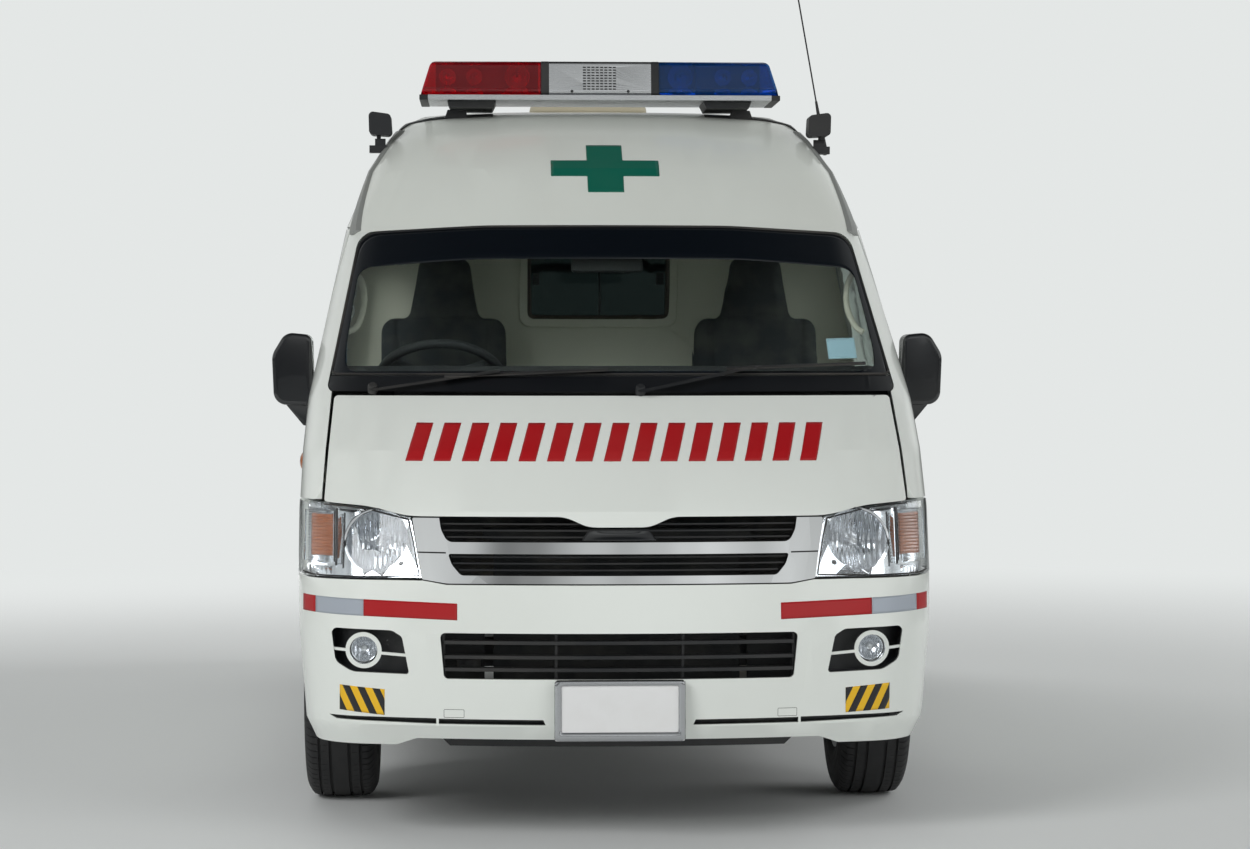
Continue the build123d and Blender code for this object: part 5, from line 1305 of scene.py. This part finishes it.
# %% Patient's room
FLOOR_Z, RAIL_Z, RAIL_REACH = 0.6415, 2.150, 0.075
vinyl_floor = finish("vinyl_floor", (0.22, 0.24, 0.25), 0.5, coat=0.1, dust=0.10, patch=4, grain=260,
                     bump=0.0002)
half = [(0.860, 1.830), (0.860, 3.775), (0.630, 3.775), (0.630, 4.695), (0.860, 4.695), (0.860, 5.230)]
floor_line = [(x, back(d), FLOOR_Z) for x, d in half] + [(-x, back(d), FLOOR_Z) for x, d in half[::-1]]
add_piece("vinyl_floor", floor_line, [list(range(len(floor_line)))], vinyl_floor, "body", facing=TOP,
          thick=0.0015)
along = np.linspace(0, 1, 61)
drop = np.clip(np.minimum(along, 1 - along) / 0.02, 0, 1) * RAIL_REACH
rail_y = back(2.10 + 2.75 * along)
rails = [tube(np.column_stack([np.full(61, x), rail_y, RAIL_Z - drop]), 0.013, 12, up=(1, 0, 0))
         for x in (-0.30, 0.30)]
add_piece("ceiling_rails", *gathered(rails), bar_metal, "body")
lamp_glow = finish("lamp_glow", (0.85, 0.87, 0.88), 0.30, dust=0.0, emission=0.4)
lamps = [slab((-0.06, 0.06), (d - 0.30, d + 0.30), (2.168, 2.190)) for d in (2.80, 4.10)]
add_piece("room_lamps", *gathered(lamps), lamp_glow, "body", bevel=0.004)
tell("patient's room")

# %% [markdown]
# Seats, mattress and bench begin as their CAD solids. The front seats are one node, so one helper takes
# out the part of a node that lies in a box. The other makes what the modifiers did the piece's own mesh,
# since a pad is swollen in steps, and each step starts from the last one's points.

# %% Part of a node, and a piece with its modifiers applied


def lump(node, low, high):
    """The points and triangles of that part of a CAD node which lies inside a box."""
    mesh = nodes[node].data
    points, corners = np.empty(len(mesh.vertices) * 3), np.empty(len(mesh.loops), int)
    mesh.vertices.foreach_get("co", points)
    mesh.loops.foreach_get("vertex_index", corners)
    points, triangles = points.reshape(-1, 3), corners.reshape(-1, 3)
    inside = ((points > low) & (points < high)).all(axis=1)
    kept, triangles = np.unique(triangles[inside[triangles].all(axis=1)], return_inverse=True)
    return points[kept], triangles.reshape(-1, 3).tolist()


def applied(piece):
    """The piece with its modifiers made part of its mesh, and its points and normals as arrays."""
    solved = piece.evaluated_get(bpy.context.evaluated_depsgraph_get())
    mesh = bpy.data.meshes.new_from_object(solved)
    piece.modifiers.clear()
    piece.data = mesh
    arrays = []
    for kind in ("co", "normal"):
        values = np.empty(len(mesh.vertices) * 3)
        mesh.vertices.foreach_get(kind, values)
        arrays.append(values.reshape(-1, 3))
    return arrays


print("the mattress is a solid of", len(lump("mattress", (-1, -3, 0), (1, 3, 2))[1]), "triangles")

# %% [markdown]
# Seats, mattress and bench are covers sewn over foam. Foam pushes a cover outwards everywhere, yet its
# seams hold it back, so a pad is crowned in the middle and pulls in towards its corners. Each pad starts
# as its CAD solid, made a little smaller and remeshed into even squares. Then cloth with air pressure
# inside swells it for twenty frames. No point may go further than a cap, nor out of the solid's own box,
# so a pad is flat only where it rests on something. The seams are pressed in afterwards.

# %% A stuffed cover
PUFF = 4
MOMENTS = 20
studio_scene = bpy.context.scene


def stuffed(name, points, faces, material, margin, voxel, cap, shown, seams, mirror_too=False):
    """A pad: p + m tanh(|m| / cap) cap / |m| for the cloth's move m, less exp(-(d / w)^2) at each seam."""
    low, high = points.min(axis=0), points.max(axis=0)
    centre = (low + high) / 2
    start = centre + (points - centre) * (1 - 2 * np.asarray(margin) / (high - low))
    piece = add_piece(name, start, faces, material, "body", angle=180)
    squares = piece.modifiers.new("squares", "REMESH")
    squares.mode = "VOXEL"
    squares.voxel_size = voxel
    rest, normals = applied(piece)
    cloth = piece.modifiers.new("cloth", "CLOTH")
    cloth.settings.use_pressure = True
    cloth.settings.uniform_pressure_force = PUFF
    cloth.settings.effector_weights.gravity = 0
    for moment in range(1, MOMENTS + 1):
        studio_scene.frame_set(moment)
    swollen, normals = applied(piece)
    studio_scene.frame_set(1)
    move = swollen - rest
    far = np.maximum(np.linalg.norm(move, axis=1, keepdims=True), 1e-9)
    rest = rest + move / far * np.tanh(far / cap) * cap
    print(name, len(rest), "points, largest move", round(float(far.max() * 1000)), "mm")
    sunk = sum(deep * np.exp(-((rest @ np.asarray(normal) - offset) / wide) ** 2)
               for normal, offset, deep, wide in seams)
    rest = rest - normals * (sunk * np.clip(normals @ np.asarray(shown), 0, 1))[:, None]
    rest = np.clip(rest, low, high)
    quads = [list(face.vertices) for face in piece.data.polygons]
    made = [(piece, rest)]
    if mirror_too:
        turned_quads = [quad[::-1] for quad in quads]
        twin = add_piece(name + "_twin", mirrored(rest), turned_quads, material, "body", angle=180)
        made.append((twin, None))
    for pad, places in made:
        if places is not None:
            pad.data.vertices.foreach_set("co", places.ravel())
            pad.data.update()
        pad.data.shade_smooth()
        finer = pad.modifiers.new("finer", "SUBSURF")
        finer.levels = finer.render_levels = 1
    return [pad for pad, places in made]


print("a cover swells for", MOMENTS, "frames")

# %% [markdown]
# The front seats are covered in dark cloth. The left one is simulated and the right one is its mirror
# image, which halves the time. Each seam is a plane given by its direction, its place, its depth and its
# width: two run along the cushion and the backrest, and the others cross them.

# %% Front seats
seat_cloth = finish("seat_cloth", (0.035, 0.038, 0.042), 0.90, dust=0.10, patch=14, grain=1600, bump=0.0006)
ACROSS, ALONG, UPWARDS = (1, 0, 0), (0, 1, 0), (0, 0, 1)
SEAT_MIDDLE, SEAM_OUT, SEAT_FOLD = 0.510, 0.150, back(1.501)
cushion = lump("front_seats", (0, back(1.0), 0.8), (1, SEAT_FOLD, 1.2))
backrest = lump("front_seats", (0, SEAT_FOLD, 0.8), (1, back(1.8), 1.8))
seat_seams = [(ACROSS, SEAT_MIDDLE - SEAM_OUT, 0.012, 0.009), (ACROSS, SEAT_MIDDLE + SEAM_OUT, 0.012, 0.009)]
cushion_seams = seat_seams + [(ALONG, back(d), 0.008, 0.008) for d in (1.150, 1.330)]
backrest_seams = seat_seams + [(UPWARDS, 1.497, 0.014, 0.009), (UPWARDS, 1.130, 0.008, 0.008),
                               (UPWARDS, 1.300, 0.008, 0.008)]
seat_pieces = stuffed("seat_cushion", *cushion, seat_cloth, (0.008, 0.008, 0.014), 0.007, 0.016, TOP,
                      cushion_seams, mirror_too=True)
seat_pieces += stuffed("seat_backrest", *backrest, seat_cloth, (0.008, 0.014, 0.006), 0.008, 0.016, FRONT,
                       backrest_seams, mirror_too=True)
for pad in seat_pieces:
    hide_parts("front_seats")
tell("front seats")

# %% [markdown]
# The stretcher's mattress and the attendant's bench wear wipe-clean blue vinyl. The mattress is stitched
# across every fifteen centimetres or so; the bench is three places side by side, each with a seat and a
# back.

# %% Mattress and bench
vinyl_blue = finish("vinyl_blue", (0.05, 0.13, 0.22), 0.45, coat=0.1, dust=0.05, bump=0.0003, grain=500)
STITCH_PITCH, SEAT_TOP = 0.145, 1.110
mattress_seams = [(ALONG, back(d), 0.010, 0.016) for d in np.arange(3.10, 4.80, STITCH_PITCH)]
mattress_pad, = stuffed("mattress_pad", *lump("mattress", (-1, -3, 0), (1, 3, 2)), vinyl_blue,
                        (0.006, 0.008, 0.010), 0.014, 0.014, TOP, mattress_seams)
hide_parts("mattress")

low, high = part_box("bench_cushions")
bench_seams = [(ALONG, back(d), 0.012, 0.016) for d in (2.667, 3.183)]
wall = low[0] + 0.012
bench_pads = stuffed("bench_seat", *block((wall, low[1], low[2]), (high[0], high[1], SEAT_TOP)), vinyl_blue,
                     (0.006, 0.006, 0.010), 0.014, 0.014, TOP, bench_seams)
lean_on = block((wall, low[1], SEAT_TOP + 0.004), (-0.800, high[1], high[2]))
bench_pads += stuffed("bench_back", *lean_on, vinyl_blue, (0.010, 0.006, 0.006), 0.014, 0.014, ACROSS,
                      bench_seams)
for pad in bench_pads:
    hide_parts("bench_cushions")
tell("mattress and bench")

# %% [markdown]
# The van stands on a plain pale floor that fades into the backdrop's own brightness far from it, so no
# horizon shows. Only the camera sees the fade; lamps and reflections find a matt floor everywhere.

# %% Floor
FLOOR_COLOR = (0.80, 0.815, 0.81)
BACKDROP_COLOR = (0.97, 1.0, 0.99)
BACKDROP_LIGHT = 0.80
FADE_NEAR, FADE_FAR = 3.2, 9.0


def studio_surface(name, points, faces):
    """A pale matt surface beside the van, which the camera sees fade to the backdrop with distance."""
    mesh = bpy.data.meshes.new(name)
    mesh.from_pydata(points, [], faces)
    material = bpy.data.materials.new(name)
    material.use_nodes = True
    tree = material.node_tree
    shader = tree.nodes["Principled BSDF"]
    shader.inputs["Base Color"].default_value = (*FLOOR_COLOR, 1)
    shader.inputs["Roughness"].default_value = 0.8
    place = tree.nodes.new("ShaderNodeTexCoord")
    reach = tree.nodes.new("ShaderNodeVectorMath")
    reach.operation = "LENGTH"
    fade = tree.nodes.new("ShaderNodeMapRange")
    fade.interpolation_type = "SMOOTHSTEP"
    fade.inputs["From Min"].default_value = FADE_NEAR
    fade.inputs["From Max"].default_value = FADE_FAR
    glow = tree.nodes.new("ShaderNodeEmission")
    glow.inputs["Color"].default_value = (*BACKDROP_COLOR, 1)
    glow.inputs["Strength"].default_value = BACKDROP_LIGHT
    mix = tree.nodes.new("ShaderNodeMixShader")
    tree.links.new(place.outputs["Object"], reach.inputs[0])
    tree.links.new(reach.outputs["Value"], fade.inputs["Value"])
    rays = tree.nodes.new("ShaderNodeLightPath")
    tree.links.new(math_node(tree, "MULTIPLY", fade.outputs[0], rays.outputs["Is Camera Ray"]), mix.inputs[0])
    tree.links.new(shader.outputs[0], mix.inputs[1])
    tree.links.new(glow.outputs[0], mix.inputs[2])
    tree.links.new(mix.outputs[0], tree.nodes["Material Output"].inputs["Surface"])
    mesh.materials.append(material)
    surface = bpy.data.objects.new(name, mesh)
    bpy.context.scene.collection.objects.link(surface)
    return surface


REACH = 60.0
studio_surface("floor", [(-REACH, -REACH, 0), (REACH, -REACH, 0), (REACH, REACH, 0), (-REACH, REACH, 0)],
               [(0, 1, 2, 3)])
print("floor", 2 * REACH, "m square")

# %% [markdown]
# The camera sees an even backdrop, yet chrome and lacquer would look like grey plastic under an even sky.
# So every other ray finds light that falls off with height, from a dark foot over a bright wall to a dim
# ceiling, broken up by soft clouds of noise.

# %% Sky and backdrop
SKY = ((0.0, 0.14), (0.055, 0.18), (0.075, 0.80), (0.40, 0.68), (0.70, 0.32), (0.94, 0.012))
CLOUD_SCALE, CLOUD_DETAIL = 1.9, 3
CLOUD_LOW, CLOUD_HIGH = 0.38, 0.62
DIMMEST, BRIGHTEST = 0.25, 1.25
world = bpy.data.worlds.new("studio")
bpy.context.scene.world = world
world.use_nodes = True
sky = world.node_tree
background = sky.nodes["Background"]
direction = sky.nodes.new("ShaderNodeTexCoord")
height = sky.nodes.new("ShaderNodeSeparateXYZ")
shade = sky.nodes.new("ShaderNodeValToRGB")
ramp = shade.color_ramp
ramp.elements[0].position, ramp.elements[1].position = SKY[0][0], SKY[-1][0]
for spot, light in SKY[1:-1]:
    ramp.elements.new(spot)
for element, (spot, light) in zip(ramp.elements, SKY):
    element.color = (light, light, light, 1)
sky.links.new(direction.outputs["Generated"], height.inputs[0])
sky.links.new(height.outputs["Z"], shade.inputs["Fac"])
clouds = sky.nodes.new("ShaderNodeTexNoise")
clouds.inputs["Scale"].default_value = CLOUD_SCALE
clouds.inputs["Detail"].default_value = CLOUD_DETAIL
spread = sky.nodes.new("ShaderNodeMapRange")
spread.inputs["From Min"].default_value = CLOUD_LOW
spread.inputs["From Max"].default_value = CLOUD_HIGH
spread.inputs["To Min"].default_value = DIMMEST
spread.inputs["To Max"].default_value = BRIGHTEST
sky.links.new(direction.outputs["Generated"], clouds.inputs["Vector"])
sky.links.new(clouds.outputs["Fac"], spread.inputs["Value"])
cloudy = math_node(sky, "MULTIPLY", shade.outputs["Color"], spread.outputs[0])
rays = sky.nodes.new("ShaderNodeLightPath")
seen = sky.nodes.new("ShaderNodeMix")
seen.data_type = "FLOAT"
seen.inputs[3].default_value = BACKDROP_LIGHT
sky.links.new(rays.outputs["Is Camera Ray"], seen.inputs[0])
sky.links.new(cloudy, seen.inputs[2])
sky.links.new(seen.outputs[0], background.inputs["Strength"])
background.inputs["Color"].default_value = (*BACKDROP_COLOR, 1)
print("sky of", len(ramp.elements), "bands")

# %% [markdown]
# Four large soft lamps: a key from the front left of the picture, a weaker fill from its right, and one
# each for the back and the flank, so that the van can be looked at from all round.

# %% Lamps


def soft_lamp(name, place, aim, size, power):
    """A square area lamp turned towards a point, which polished parts don't mirror."""
    light = bpy.data.lights.new(name, "AREA")
    light.size = size
    light.energy = power
    lamp = bpy.data.objects.new(name, light)
    lamp.location = place
    direction = np.array(aim, float) - np.array(place, float)
    yaw = np.arctan2(-direction[0], direction[1])
    tilt = np.arctan2(np.hypot(direction[0], direction[1]), -direction[2])
    lamp.rotation_euler = (tilt, 0, yaw)
    lamp.visible_glossy = False
    bpy.context.scene.collection.objects.link(lamp)
    return lamp


soft_lamp("key", (-6.0, -9.0, 5.5), (0, -1.5, 1.2), 4.0, 440)
soft_lamp("fill", (7.5, -9.0, 4.5), (0, -1.5, 1.0), 6.0, 200)
soft_lamp("rear", (-4.0, 10.0, 5.0), (0, 1.0, 1.2), 6.0, 420)
soft_lamp("flank", (9.0, 3.0, 5.0), (0, 0.5, 1.2), 6.0, 300)
print("four lamps")

# %% [markdown]
# The camera is where the photographer stood: eleven metres ahead of the van's middle, at chest height,
# turned and tipped down a little.

# %% Camera
CAMERA_PLACE = (-0.347, -11.18, 1.386)
CAMERA_YAW = 2.43
CAMERA_DROP = 1.385
LENS, SENSOR = 88.76, 36
camera_data = bpy.data.cameras.new("camera")
camera_data.sensor_width = SENSOR
camera_data.lens = LENS
camera = bpy.data.objects.new("camera", camera_data)
camera.location = CAMERA_PLACE
camera.rotation_euler = (radians(90 - CAMERA_DROP), 0, radians(-CAMERA_YAW))
bpy.context.scene.collection.objects.link(camera)
bpy.context.scene.camera = camera
bpy.context.scene.view_settings.view_transform = "Standard"
print("camera", CAMERA_PLACE, "lens", LENS, "mm")
